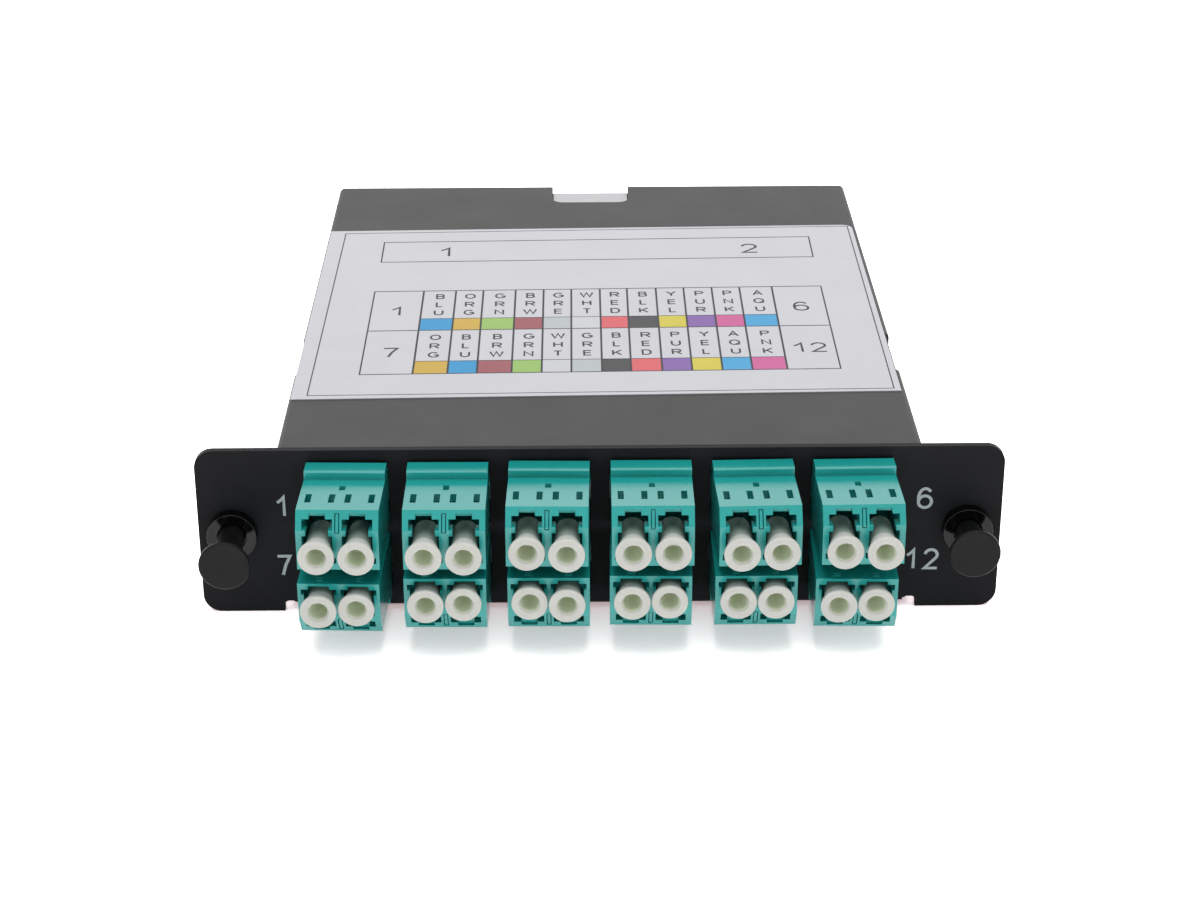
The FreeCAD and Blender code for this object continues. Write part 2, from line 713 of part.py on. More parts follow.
def make_plunger():
    """A push-pull plunger: head, shank and a catch behind the barrel, with the head's face at y = 0."""
    body = new_body("latch_plunger_master")
    catch = "(plunger_out_left + grommet_barrel_end + plunger_catch_gap)"
    end = catch + " + plunger_catch_length"
    revolve(body, "plunger", [
        ("0", "0"), ("0", "plunger_head / 2"), ("plunger_head_length", "plunger_head / 2"),
        ("plunger_head_length", "plunger_shank / 2"), (end, "plunger_shank / 2"), (end, "0")])
    wings = sketch_on(body, "catch_outline", "XZ_Plane", "-1 * " + catch)
    add_outline(wings, rectangle("-1 * plunger_catch_width / 2", "plunger_catch_width / 2",
                                 "-1 * plunger_catch_height / 2", "plunger_catch_height / 2"))
    extrude(body, "Pad", "catch", wings, "plunger_catch_length", reverse=True)
    return body


def add_latches(grommet, plunger):
    """Both latches; the left one is pulled right out and the right one not quite."""
    items = []
    for side, name in ((-1, "left"), (1, "right")):
        x = side * size("latch_spacing / 2")
        seat = FreeCAD.Vector(x, size("shift"), size("latch_height"))
        head = seat - FreeCAD.Vector(0, size("plunger_out_" + name), 0)
        items.append(add_copy("latch_grommet_" + name, grommet,
                              FreeCAD.Placement(seat, FreeCAD.Rotation())))
        items.append(add_copy("latch_plunger_" + name, plunger,
                              FreeCAD.Placement(head, FreeCAD.Rotation())))
    return items


# Rear multi-fibre adapters


def port_with_key(wide, tall, key_wide, key_tall):
    """A rectangular port about the middle with a keyway in its upper side."""
    return [("-1 * %s / 2" % wide, "-1 * %s / 2" % tall), ("%s / 2" % wide, "-1 * %s / 2" % tall),
            ("%s / 2" % wide, "%s / 2" % tall), ("%s / 2" % key_wide, "%s / 2" % tall),
            ("%s / 2" % key_wide, "%s / 2 + %s" % (tall, key_tall)),
            ("-1 * %s / 2" % key_wide, "%s / 2 + %s" % (tall, key_tall)),
            ("-1 * %s / 2" % key_wide, "%s / 2" % tall), ("-1 * %s / 2" % wide, "%s / 2" % tall)]


def make_mpo_adapter():
    """A body through the rear wall, a narrow flange outside, and a keyed port at each end."""
    body = new_body("mpo_adapter_master")
    block = sketch_on(body, "mpo_block_outline", "XZ_Plane", "mpo_tail")
    add_outline(block, rectangle("-1 * mpo_width / 2", "mpo_width / 2",
                                 "-1 * mpo_thickness / 2", "mpo_thickness / 2"))
    extrude(body, "Pad", "mpo_block", block, "mpo_tail + mpo_flange + mpo_nose", reverse=True)
    flange = sketch_on(body, "mpo_flange_outline", "XZ_Plane", "0")
    add_outline(flange, rectangle("-1 * mpo_flange_width / 2", "mpo_flange_width / 2",
                                  "-1 * mpo_flange_thickness / 2", "mpo_flange_thickness / 2"))
    extrude(body, "Pad", "mpo_flange_pad", flange, "mpo_flange", reverse=True)
    outline = port_with_key("mpo_port_width", "mpo_port_height", "mpo_key_width", "mpo_key_height")
    rear = sketch_on(body, "mpo_rear_port_outline", "XZ_Plane", "-1 * (mpo_flange + mpo_nose)")
    add_outline(rear, outline)
    extrude(body, "Pocket", "mpo_rear_port", rear, "mpo_port_depth", reverse=True)
    inner = sketch_on(body, "mpo_inner_port_outline", "XZ_Plane", "mpo_tail")
    add_outline(inner, outline)
    extrude(body, "Pocket", "mpo_inner_port", inner, "mpo_port_depth")
    return body


def make_mpo_cap():
    """A block that fills the rear port, a waist and a grip head, with the waist starting at y = 0."""
    body = new_body("mpo_dust_cap_master")
    head = sketch_on(body, "mpo_head_outline", "XZ_Plane", "-1 * mpo_cap_waist")
    add_outline(head, rectangle("-1 * mpo_cap_head_width / 2", "mpo_cap_head_width / 2",
                                "-1 * mpo_cap_head_height / 2", "mpo_cap_head_height / 2"))
    extrude(body, "Pad", "mpo_head", head, "mpo_cap_head_length", reverse=True)
    insert = sketch_on(body, "mpo_insert_outline", "XZ_Plane", "mpo_cap_insert")
    wide, tall = "(mpo_port_width / 2 - mpo_cap_gap)", "(mpo_port_height / 2 - mpo_cap_gap)"
    add_outline(insert, rectangle("-1 * " + wide, wide, "-1 * " + tall, tall))
    extrude(body, "Pad", "mpo_insert", insert, "mpo_cap_insert + mpo_cap_waist", reverse=True)
    return body


def make_mpo_plug():
    """The harness plug in the inner port, with its nose at y = 0."""
    body = new_body("mpo_plug_master")
    shell = sketch_on(body, "mpo_plug_outline", "XZ_Plane", "0")
    wide, tall = "(mpo_port_width / 2 - mpo_cap_gap)", "(mpo_port_height / 2 - mpo_cap_gap)"
    add_outline(shell, rectangle("-1 * " + wide, wide, "-1 * " + tall, tall))
    extrude(body, "Pad", "mpo_plug_shell", shell, "mpo_plug_length")
    return body


def mpo_seats():
    """The middle of each rear cut-out on the wall's outer face."""
    for number, side in ((1, -1), (2, 1)):
        yield number, FreeCAD.Vector(side * size("mpo_spacing / 2"), size("body_depth + shift"),
                                     size("mpo_height"))


def add_mpo_parts(adapter, cap, plug):
    """Adapter, cap and inner plug at each rear cut-out."""
    items = []
    straight = FreeCAD.Rotation()
    for number, seat in mpo_seats():
        items.append(add_copy("mpo_adapter_%d" % number, adapter, FreeCAD.Placement(seat, straight)))
        out = seat + FreeCAD.Vector(0, size("mpo_flange + mpo_nose"), 0)
        items.append(add_copy("mpo_dust_cap_%d" % number, cap, FreeCAD.Placement(out, straight)))
        inside = seat - FreeCAD.Vector(0, size("mpo_tail - mpo_port_depth + mpo_cap_gap"), 0)
        items.append(add_copy("mpo_plug_%d" % number, plug, FreeCAD.Placement(inside, straight)))
    return items


# Inner harness, made with Part's own functions because its route bends in space


def box_about(x, y_low, y_high, z, width, tall):
    """A box centred on x and z."""
    corner = FreeCAD.Vector(x - width / 2, y_low, z - tall / 2)
    return Part.makeBox(width, y_high - y_low, tall, corner)


def twin_plug():
    """One inner plug for both ports of an adapter: two noses with latch arms, a housing and one boot."""
    wide, front = size("lc_plug_width"), size("lc_plug_front")
    end = front + size("lc_plug_body")
    housing_end = end + size("lc_housing_length")
    arm_width, arm_height = size("lc_latch_width"), size("lc_latch_height")
    pieces = []
    for x in (-size("port_pitch / 2"), size("port_pitch / 2")):
        pieces.append(box_about(x, front, end, 0, wide, wide))
        arm_front = front + (end - front) / 2
        pieces.append(box_about(x, arm_front, end, (wide + arm_height) / 2, arm_width, arm_height))
    housing = box_about(0, end, housing_end, 0, size("port_pitch") + wide, size("lc_housing_height"))
    boot_width = size("lc_boot_width")
    boot_end = housing_end + size("lc_boot_length")
    pieces.append(box_about(0, housing_end, boot_end, 0, boot_width, boot_width))
    return housing.fuse(pieces).removeSplitter()


def plug_place(number):
    """The middle of an adapter's two port axes."""
    middle = FreeCAD.Placement(FreeCAD.Vector(0, 0, size("axis_offset")), FreeCAD.Rotation())
    return adapter_place(number) * middle


def add_plug_row(label, numbers):
    """The six twin plugs of one row, each a solid of its own."""
    plugs = []
    for number in numbers:
        plug = twin_plug()
        plug.Placement = plug_place(number)
        plugs.append(plug)
    item = doc.addObject("Part::Feature", label)
    item.Label = label
    item.Shape = Part.makeCompound(plugs)
    return item


# How much of a run an arc may take up: of one that ends the route, and of one that ends in another turn
END_RUN_SHARE = 0.95
SHARED_RUN_SHARE = 0.5


def bend_room(points):
    """How far from each turn of a route its arc may reach along both of its runs."""
    room = [(after - before).Length * SHARED_RUN_SHARE for before, after in zip(points, points[1:])]
    room[0] *= END_RUN_SHARE / SHARED_RUN_SHARE
    room[-1] *= END_RUN_SHARE / SHARED_RUN_SHARE
    return [min(pair) for pair in zip(room, room[1:])]


def bent_route(points, radius, chords=3):
    """The nodes of a route whose turns follow an arc in a few equal chords. An arc that its runs have no room
    for is made tighter."""
    route = [points[0]]
    for before, corner, after, limit in zip(points, points[1:], points[2:], bend_room(points)):
        back = (before - corner).normalize()
        ahead = (after - corner).normalize()
        turn = math.pi - back.getAngle(ahead)
        reach = min(radius * math.tan(turn / 2), limit)
        centre = corner + (back + ahead).normalize() * (reach / math.sin(turn / 2))
        first, last = corner + back * reach - centre, corner + ahead * reach - centre
        for step in range(chords + 1):
            share = step / chords
            arm = first * math.sin((1 - share) * turn) + last * math.sin(share * turn)
            route.append(centre + arm * (1 / math.sin(turn)))
    return route + [points[-1]]


def square_cable(points, width, radius):
    """A cable of square section along a flat route: its outline in the route's plane, mitred at each node,
    and then given its thickness across the plane."""
    nodes = bent_route(points, radius)
    runs = [(after - before).normalize() for before, after in zip(nodes, nodes[1:])]
    normal = runs[0].cross(points[2] - points[1]).normalize()
    low, high = [], []
    for node, run_in, run_out in zip(nodes, runs[:1] + runs, runs + runs[-1:]):
        middle = (run_in + run_out).normalize()
        side = normal.cross(middle) * (width / 2 / middle.dot(run_in))
        low.append(node - side - normal * (width / 2))
        high.append(node + side - normal * (width / 2))
    outline = low + high[::-1]
    cable = Part.Face(Part.makePolygon(outline + outline[:1])).extrude(normal * width)
    length = sum((after - before).Length for before, after in zip(nodes, nodes[1:]))
    if abs(cable.Volume / (length * width ** 2) - 1) > 0.01:
        raise RuntimeError("the cable's section isn't kept along its route")
    return cable


def add_fibre_fan(label, numbers, row, plug_end):
    """The fan-out block, its six two-fibre legs side by side, and the trunk, as one harness."""
    boot_end = size("boot_rear")
    height = row + (size("axis_offset") if numbers[0] == 1 else -size("axis_offset"))
    front = size("block_front + shift")
    rear = front + size("block_length")
    sink = size("joint_sink")
    solids = [box_about(0, front, rear, height, size("block_width"), size("block_height"))]
    middle = (len(numbers) - 1) / 2
    for index, number in enumerate(numbers):
        start = plug_place(number) * FreeCAD.Vector(0, boot_end, 0)
        slot_x = (index - middle) * size("leg_pitch")
        inner_turns = middle - abs(index - middle)
        turn_in = front - size("leg_straight") - inner_turns * size("leg_stagger")
        route = [start, FreeCAD.Vector(start.x, start.y + size("leg_straight"), start.z),
                 FreeCAD.Vector(slot_x, turn_in, start.z), FreeCAD.Vector(slot_x, front + sink, start.z)]
        solids.append(square_cable(route, size("leg_width"), size("leg_bend")))
    lead = FreeCAD.Vector(0, size("trunk_lead"), 0)
    start = FreeCAD.Vector(0, rear - sink, height)
    route = [start, start + lead, plug_end - lead, plug_end]
    solids.append(square_cable(route, size("trunk_width"), size("trunk_bend")))
    item = doc.addObject("Part::Feature", label)
    item.Label = label
    item.Shape = solids[0].fuse(solids[1:])
    return item


def make_stand():
    """A moulded frame on the floor: a foot, a shelf inside for the lower block and a top for the upper."""
    body = new_body("fanout_stand")
    clear = "block_width / 2 + cover_gap + stand_wall"
    inside = "block_width / 2 + cover_gap"
    start = "-1 * (block_front + (block_length - stand_length) / 2)"
    low_shelf = "(row_lower - axis_offset - block_height / 2)"
    high_shelf = "(row_upper + axis_offset - block_height / 2)"
    frame = sketch_on(body, "stand_outline", "XZ_Plane", start)
    add_outline(frame, rectangle("-1 * (%s)" % clear, clear, "floor_top", high_shelf))
    extrude(body, "Pad", "stand_frame", frame, "stand_length", reverse=True)
    gaps = sketch_on(body, "stand_gaps", "XZ_Plane", start)
    add_outline(gaps, rectangle("-1 * (%s)" % inside, inside,
                                "floor_top + stand_wall", low_shelf + " - stand_wall"))
    add_outline(gaps, rectangle("-1 * (%s)" % inside, inside, low_shelf, high_shelf + " - stand_wall"))
    extrude(body, "Pocket", "stand_gap_cut", gaps, "stand_length")
    return place_body(body)


# Paper


def make_label():
    """The port chart on the cover, cut a little out of square, with one rounded corner."""
    body = new_body("port_label")
    left, right = "label_offset - label_width / 2", "label_offset + label_width / 2"
    sheet_outline = sketch_on(body, "label_outline", "XY_Plane", "cover_top")
    add_outline(sheet_outline, [
        (left, "label_front"), (right, "label_front + label_skew"),
        (right, "label_front + label_depth + label_skew"), (left, "label_front + label_depth")])
    extrude(body, "Pad", "label_paper", sheet_outline, "paper")
    corner_x, corner_y = size(right), size("label_front + label_depth + label_skew")
    round_edges(body, "label_corner", "label_round", "z",
                lambda c: near(c.x, corner_x) and near(c.y, corner_y))
    return place_body(body)


def make_seal():
    """The paper seal on the rear flange, inside the cover's rear notch."""
    body = new_body("seal_sticker")
    outline = sketch_on(body, "seal_outline", "XY_Plane", "tray_top")
    half = "(rear_notch_width / 2 - seal_gap)"
    add_outline(outline, rectangle("rear_notch_offset - " + half, "rear_notch_offset + " + half,
                                   "body_depth - rear_notch_depth + seal_gap",
                                   "body_depth - bend_outside"))
    extrude(body, "Pad", "seal_paper", outline, "paper")
    front = size("body_depth - rear_notch_depth + seal_gap")
    round_edges(body, "seal_corners", "rear_notch_round", "z", lambda c: near(c.y, front))
    return place_body(body)


# Assembly


def build():
    """Every sub-part, in the order in which the cassette goes together."""
    parts = [make_base_tray()]
    adapter = make_adapter()
    numbers = list(adapter_numbers())
    half = len(numbers) // 2
    for number in numbers:
        parts.append(add_copy("lc_adapter_%02d" % number, adapter, adapter_place(number)))
    parts += add_dust_caps(make_dust_cap())
    parts += add_latches(make_grommet(), make_plunger())
    parts += add_mpo_parts(make_mpo_adapter(), make_mpo_cap(), make_mpo_plug())
    parts.append(add_plug_row("lc_plugs_upper_row", numbers[:half]))
    parts.append(add_plug_row("lc_plugs_lower_row", numbers[half:]))
    plug_depth = size("mpo_plug_depth")
    for number, seat in mpo_seats():
        row = numbers[:half] if number == 1 else numbers[half:]
        height = size("row_upper") if number == 1 else size("row_lower")
        end = seat - FreeCAD.Vector(0, plug_depth, 0)
        parts.append(add_fibre_fan("fibre_fan_%d" % number, row, height, end))
    parts.append(make_stand())
    parts.append(make_cover())
    parts.append(make_label())
    parts.append(make_seal())
    doc.recompute()
    return parts


def check(parts):
    """Stop if any feature failed or any sub-part has no valid solid."""
    for item in doc.Objects:
        if "Invalid" in item.State or "Error" in item.State:
            raise RuntimeError("failed: %s %s" % (item.Label, item.State))
    for part in parts:
        shape = part.Shape
        if shape.isNull() or not shape.isValid() or not shape.Solids:
            raise RuntimeError("no valid solid: " + part.Label)


def export(parts):
    """One STEP file for each sub-part, named by its label."""
    os.makedirs("parts", exist_ok=True)
    for part in parts:
        part.Shape.exportStep(os.path.join("parts", part.Label + ".step"))
        box = part.Shape.BoundBox
        print("%-20s %2d solid(s) %9.2f mm3  x %7.2f %7.2f  y %7.2f %7.2f  z %6.2f %6.2f" % (
            part.Label, len(part.Shape.Solids), part.Shape.Volume,
            box.XMin, box.XMax, box.YMin, box.YMax, box.ZMin, box.ZMax))


made = build()
check(made)
export(made)
print("%d sub-parts, shift %.3f" % (len(made), size("shift")))
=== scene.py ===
# %% [markdown]
# # Fibre cassette
# A flat steel box for a patch panel, with twelve aqua duplex adapters in its front plate, a dust cap in each
# port, two black push-pull latches and a paper port chart on the cover. The solids come packed, in metres, in
# the frame that the motion study uses too. This script dresses them: it rounds what a mould or a press brake
# rounds, turns the round pieces afresh as smooth surfaces, prints the chart, and gives each part its finish.

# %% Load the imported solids
import json
import math

import bmesh
import bpy
import numpy as np
from mathutils import Matrix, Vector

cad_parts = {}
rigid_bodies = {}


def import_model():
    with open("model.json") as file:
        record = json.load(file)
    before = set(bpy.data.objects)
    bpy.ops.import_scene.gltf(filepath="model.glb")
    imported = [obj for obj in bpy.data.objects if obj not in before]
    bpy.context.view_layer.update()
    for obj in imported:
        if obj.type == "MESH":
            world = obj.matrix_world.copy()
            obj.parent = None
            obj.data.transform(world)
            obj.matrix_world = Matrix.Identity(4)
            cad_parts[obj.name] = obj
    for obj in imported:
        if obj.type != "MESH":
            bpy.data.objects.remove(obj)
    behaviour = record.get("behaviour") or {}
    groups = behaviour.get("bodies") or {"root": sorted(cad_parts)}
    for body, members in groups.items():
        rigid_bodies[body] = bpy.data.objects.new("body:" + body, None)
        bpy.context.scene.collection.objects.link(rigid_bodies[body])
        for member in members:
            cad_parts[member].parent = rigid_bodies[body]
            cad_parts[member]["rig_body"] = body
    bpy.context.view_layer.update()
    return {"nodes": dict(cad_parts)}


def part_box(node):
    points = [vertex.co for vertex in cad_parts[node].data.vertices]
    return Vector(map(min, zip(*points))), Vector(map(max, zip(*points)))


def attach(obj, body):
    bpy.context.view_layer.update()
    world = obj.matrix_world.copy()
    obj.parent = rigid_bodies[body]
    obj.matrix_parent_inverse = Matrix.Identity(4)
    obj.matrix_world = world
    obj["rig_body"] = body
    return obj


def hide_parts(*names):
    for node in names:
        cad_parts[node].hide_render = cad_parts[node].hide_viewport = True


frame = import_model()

print("solids:", len(frame["nodes"]))

# %% [markdown]
# ## Units and places
# Every size below is written in millimetres, as a maker would read it from a drawing, and turned into metres
# at the last moment. The plate's front face is the datum: its place is read from the tray's own box, so the
# script follows the solids if the whole cassette is moved along y.

# %% Millimetres and the datum
MM = 0.001
PLATE_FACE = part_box("base_tray")[0].y / MM
PAPER_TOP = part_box("port_label")[1].z / MM
print("plate face y %.3f, chart paper z %.2f" % (PLATE_FACE, PAPER_TOP))

# %% [markdown]
# ## The camera
# A product photograph like this one is taken with a long lens from a good third of a metre away, so upright
# lines stay nearly upright. The numbers come from a fit to the plate's corners, the cover's edges and the
# chart's ruled lines. The lens isn't shifted, because the picture's middle is the lens's middle.

# %% Set the camera
# The lens is in pixels of the photograph, the places are in millimetres and the turns in radians.
LENS_PIXELS = 2499.27
IMAGE_WIDTH = 1200
SENSOR = 36.0
CAMERA_PLACE = np.array([-4.365, PLATE_FACE - 361.566, 197.816])
YAW, PITCH, ROLL = -0.0120, 0.4374, -0.0021
NEAREST = 10.0


def turn_about(axis, angle):
    """The 3 x 3 matrix that turns by an angle in radians about x, y or z."""
    c, s = math.cos(angle), math.sin(angle)
    turns = {"x": [[1, 0, 0], [0, c, -s], [0, s, c]], "y": [[c, 0, s], [0, 1, 0], [-s, 0, c]],
             "z": [[c, -s, 0], [s, c, 0], [0, 0, 1]]}
    return np.array(turns[axis])


def camera_matrix():
    """Columns are the picture's right, its up, and the direction back from the lens; then the place."""
    level = turn_about("z", YAW) @ turn_about("x", -PITCH)
    right, ahead, down = level[:, 0], level[:, 1], -level[:, 2]
    matrix = np.eye(4)
    matrix[:3, 0] = math.cos(ROLL) * right - math.sin(ROLL) * down
    matrix[:3, 1] = -(math.sin(ROLL) * right + math.cos(ROLL) * down)
    matrix[:3, 2] = -ahead
    matrix[:3, 3] = CAMERA_PLACE * MM
    return Matrix(matrix.tolist())


camera_data = bpy.data.cameras.new("photo_camera")
camera_data.sensor_fit = "HORIZONTAL"
camera_data.sensor_width = SENSOR
camera_data.lens = LENS_PIXELS / IMAGE_WIDTH * SENSOR
camera_data.clip_start = NEAREST * MM
camera = bpy.data.objects.new("photo_camera", camera_data)
bpy.context.scene.collection.objects.link(camera)
camera.matrix_world = camera_matrix()
bpy.context.scene.camera = camera
bpy.context.scene.view_settings.view_transform = "Standard"
print("lens %.2f mm at %s mm" % (camera_data.lens, CAMERA_PLACE.round(1).tolist()))

# %% [markdown]
# ## Surfaces from numbers
# A turned piece is a profile spun about an axis, and a printed line is a small section carried along a path.
# Both are a grid of points worked out at once with numpy, and the faces are the grid's squares. Spinning with
# Blender's own tools would do as well, but a grid says plainly what the shape is, and it comes out the same
# each time.

# %% The squares of a grid


def grid_faces(rows, columns, wrap):
    """Squares of a rows x columns grid, point number = row * columns + column; wrap joins the last column
    to the first."""
    row = np.arange(rows - 1)[:, None]
    column = np.arange(columns if wrap else columns - 1)[None, :]
    after = (column + 1) % columns
    corners = [row * columns + column, row * columns + after,
               (row + 1) * columns + after, (row + 1) * columns + column]
    return np.stack(corners, -1).reshape(-1, 4)


print("grid of 3 x 4 points, wrapped:", len(grid_faces(3, 4, True)), "faces")

# %% Meshes and pieces
# MERGE is in metres, as the meshes are, and SMOOTH_ANGLE in degrees.
MERGE = 1e-7
SMOOTH_ANGLE = 50


def finished_mesh(name, shape, smooth_angle=SMOOTH_ANGLE):
    """Bake a bmesh with merged doubles, outward faces, and edges sharp where they turn further than the
    angle in degrees."""
    bmesh.ops.remove_doubles(shape, verts=shape.verts, dist=MERGE)
    bmesh.ops.dissolve_degenerate(shape, edges=shape.edges, dist=MERGE)
    bmesh.ops.recalc_face_normals(shape, faces=shape.faces)
    mesh = bpy.data.meshes.new(name)
    shape.to_mesh(mesh)
    shape.free()
    mesh.shade_smooth()
    mesh.set_sharp_from_angle(angle=math.radians(smooth_angle))
    return mesh


def face_middles(mesh):
    """The middle of each face, in millimetres."""
    middles = np.empty(3 * len(mesh.polygons))
    mesh.polygons.foreach_get("center", middles)
    return middles.reshape(-1, 3) / MM


def add_piece(name, mesh, materials, body, stands_for=()):
    """Put a mesh in the scene at the origin, with its finishes, body and the nodes it replaces."""
    piece = bpy.data.objects.new(name, mesh)
    bpy.context.scene.collection.objects.link(piece)
    mesh.materials.clear()
    for material in materials:
        mesh.materials.append(material)
    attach(piece, body)
    if stands_for:
        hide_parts(*stands_for)
    return piece


def solid_from_points(points, faces, caps=()):
    """A bmesh from an array of points in millimetres, an array of squares, and any closing faces."""
    mesh = bpy.data.meshes.new("draft")
    mesh.from_pydata((points * MM).tolist(), [], faces.tolist() + [list(cap) for cap in caps])
    shape = bmesh.new()
    shape.from_mesh(mesh)
    bpy.data.meshes.remove(mesh)
    return shape


def join(whole, part):
    """Add the faces of the bmesh part to the bmesh whole, and free the part."""
    draft = bpy.data.meshes.new("draft")
    part.to_mesh(draft)
    part.free()
    whole.from_mesh(draft)
    bpy.data.meshes.remove(draft)


print("points closer than %.4f mm are merged" % (MERGE / MM))

# %% [markdown]
# ## Rounded profiles
# Nothing that comes out of a mould has a razor edge. The profile of each turned piece is written as a few
# corners with a radius each, and one function swaps every corner for its tangent arc. That keeps the drawing
# readable, and the light runs over the rims as it does on the real caps.

# %% Round the corners of a profile


def round_profile(corners, radii, steps=5):
    """Swap each inner corner for a tangent arc. With a and b the unit directions to its neighbours and h half
    the angle between them, the arc starts at corner + a r / tan h, its centre is at
    corner + (a + b) / |a + b| r / sin h, and its points turn evenly from the first radius to the second."""
    corners = np.asarray(corners, float)
    radii = np.asarray(radii, float)[:, None]
    inner = corners[1:-1]
    a = corners[:-2] - inner
    b = corners[2:] - inner
    a /= np.linalg.norm(a, axis=1, keepdims=True)
    b /= np.linalg.norm(b, axis=1, keepdims=True)
    half = np.arccos(np.clip((a * b).sum(1, keepdims=True), -1, 1)) / 2
    middle = a + b
    middle /= np.linalg.norm(middle, axis=1, keepdims=True)
    centre = inner + middle * radii / np.sin(half)
    first = inner + a * radii / np.tan(half) - centre
    last = inner + b * radii / np.tan(half) - centre
    turn = np.pi - 2 * half
    share = np.linspace(0, 1, steps)[None, :, None]
    weight_first = np.sin((1 - share) * turn[:, None]) / np.sin(turn[:, None])
    weight_last = np.sin(share * turn[:, None]) / np.sin(turn[:, None])
    arcs = centre[:, None] + weight_first * first[:, None] + weight_last * last[:, None]
    return np.vstack([corners[:1], arcs.reshape(-1, 2), corners[-1:]])


corner = round_profile([(0, 2), (0, 0), (2, 0)], [1], 3)
print("a corner of 90 degrees and radius 1:", corner.round(3).tolist())

# %% Spin a profile and put it in its place


def turned_points(profile, segments):
    """Spin (depth y, radius r) about the y axis: x = r cos t, z = r sin t, with t once round."""
    t = np.linspace(0, 2 * np.pi, segments, endpoint=False)[None, :]
    depth, radius = profile[:, :1], profile[:, 1:]
    points = np.stack([radius * np.cos(t), depth + 0 * t, radius * np.sin(t)], -1)
    return points.reshape(-1, 3)


def placed(points, place):
    """Carry points in a piece's own millimetres to the cassette's, with a 4 x 4 place."""
    return points @ place[:3, :3].T + place[:3, 3]


def turned_shape(profile, segments, place):
    """A bmesh of the spun profile. Both of its ends lie on the axis, so the poles close when merged."""
    points = placed(turned_points(profile, segments), place)
    return solid_from_points(points, grid_faces(len(profile), segments, True))


def seat(x, y, z, turn=None):
    """A 4 x 4 place at a point, with an optional 3 x 3 turn."""
    place = np.eye(4)
    place[:3, 3] = x, y, z
    if turn is not None:
        place[:3, :3] = turn
    return place


print("the corner spun in 8 steps:", turned_points(corner, 8).shape[0], "points")

# %% [markdown]
# ## Finishes
# Powder coat, moulded plastic and paper differ mostly in three things: how fine their grain is, how far the
# light spreads on them, and how uneven their colour is. One recipe covers them. Two noises in the piece's
# own space, one broad and one fine, stir the colour. The fine one also stirs the roughness and lifts the
# surface a few microns. Whatever is the same all over, such as the specular level, goes straight on the
# shader.

# %% Colours and noises
NOISE_MIDDLE = (0.3, 0.7)


def tone(red, green, blue):
    """Linear light from the 0 to 255 screen values that a colour picker shows, by the sRGB curve."""
    screen = np.array([red, green, blue]) / 255
    return tuple(np.where(screen <= 0.04045, screen / 12.92, ((screen + 0.055) / 1.055) ** 2.4)) + (1.0,)


def noise_node(tree, place, size, detail, roughness=0.5):
    """A noise whose features are about the given size in millimetres."""
    noise = tree.nodes.new("ShaderNodeTexNoise")
    noise.inputs["Scale"].default_value = 1 / (size * MM)
    noise.inputs["Detail"].default_value = detail
    noise.inputs["Roughness"].default_value = roughness
    tree.links.new(place, noise.inputs["Vector"])
    return noise.outputs["Fac"]


def spread_node(tree, value, low, high):
    """Carry the middle of a noise to the range low to high."""
    spread = tree.nodes.new("ShaderNodeMapRange")
    for socket, number in zip(("From Min", "From Max", "To Min", "To Max"), (*NOISE_MIDDLE, low, high)):
        spread.inputs[socket].default_value = number
    tree.links.new(value, spread.inputs["Value"])
    return spread.outputs["Result"]


print("a screen value of 128 is", round(float(tone(128, 128, 128)[0]), 3), "of the light")

# %% The recipe for a finish
FINE_SHARE = 0.5
BROAD_SHARE = 0.5
FINE_DETAIL = 3.0
FINE_ROUGHNESS = 0.6
BROAD_DETAIL = 2.0


def make_finish(name, dark, light, grain, lift, gloss, specular=0.5, broad=12.0, **constant):
    """A shader whose colour runs from dark to light with broad and fine noise, whose roughness runs over the
    pair in gloss, and whose surface is lifted by the fine noise. Grain, the size of the fine noise, and broad
    and lift are in millimetres. Any other constant goes on the shader's socket of that name."""
    material = bpy.data.materials.new(name)
    material.use_nodes = True
    tree = material.node_tree
    shader = tree.nodes["Principled BSDF"]
    place = tree.nodes.new("ShaderNodeTexCoord").outputs["Object"]
    fine = noise_node(tree, place, grain, FINE_DETAIL, FINE_ROUGHNESS)
    wide = noise_node(tree, place, broad, BROAD_DETAIL)

    both = tree.nodes.new("ShaderNodeMath")
    both.operation = "MULTIPLY_ADD"
    both.inputs[1].default_value = FINE_SHARE
    tree.links.new(spread_node(tree, fine, 0.0, 1.0), both.inputs[0])
    tree.links.new(spread_node(tree, wide, 0.0, BROAD_SHARE), both.inputs[2])
    colour = tree.nodes.new("ShaderNodeMix")
    colour.data_type = "RGBA"
    colour.inputs["A"].default_value = tone(*dark)
    colour.inputs["B"].default_value = tone(*light)
    tree.links.new(both.outputs["Value"], colour.inputs["Factor"])
    tree.links.new(colour.outputs["Result"], shader.inputs["Base Color"])
    tree.links.new(spread_node(tree, fine, *gloss), shader.inputs["Roughness"])

    bump = tree.nodes.new("ShaderNodeBump")
    bump.inputs["Strength"].default_value = 1.0
    bump.inputs["Distance"].default_value = lift * MM
    tree.links.new(fine, bump.inputs["Height"])
    tree.links.new(bump.outputs["Normal"], shader.inputs["Normal"])
    shader.inputs["Specular IOR Level"].default_value = specular
    for socket, number in constant.items():
        shader.inputs[socket.replace("_", " ")].default_value = number
    return material


print("the colour follows the fine noise by %.1f and the broad one by %.1f" % (FINE_SHARE, BROAD_SHARE))

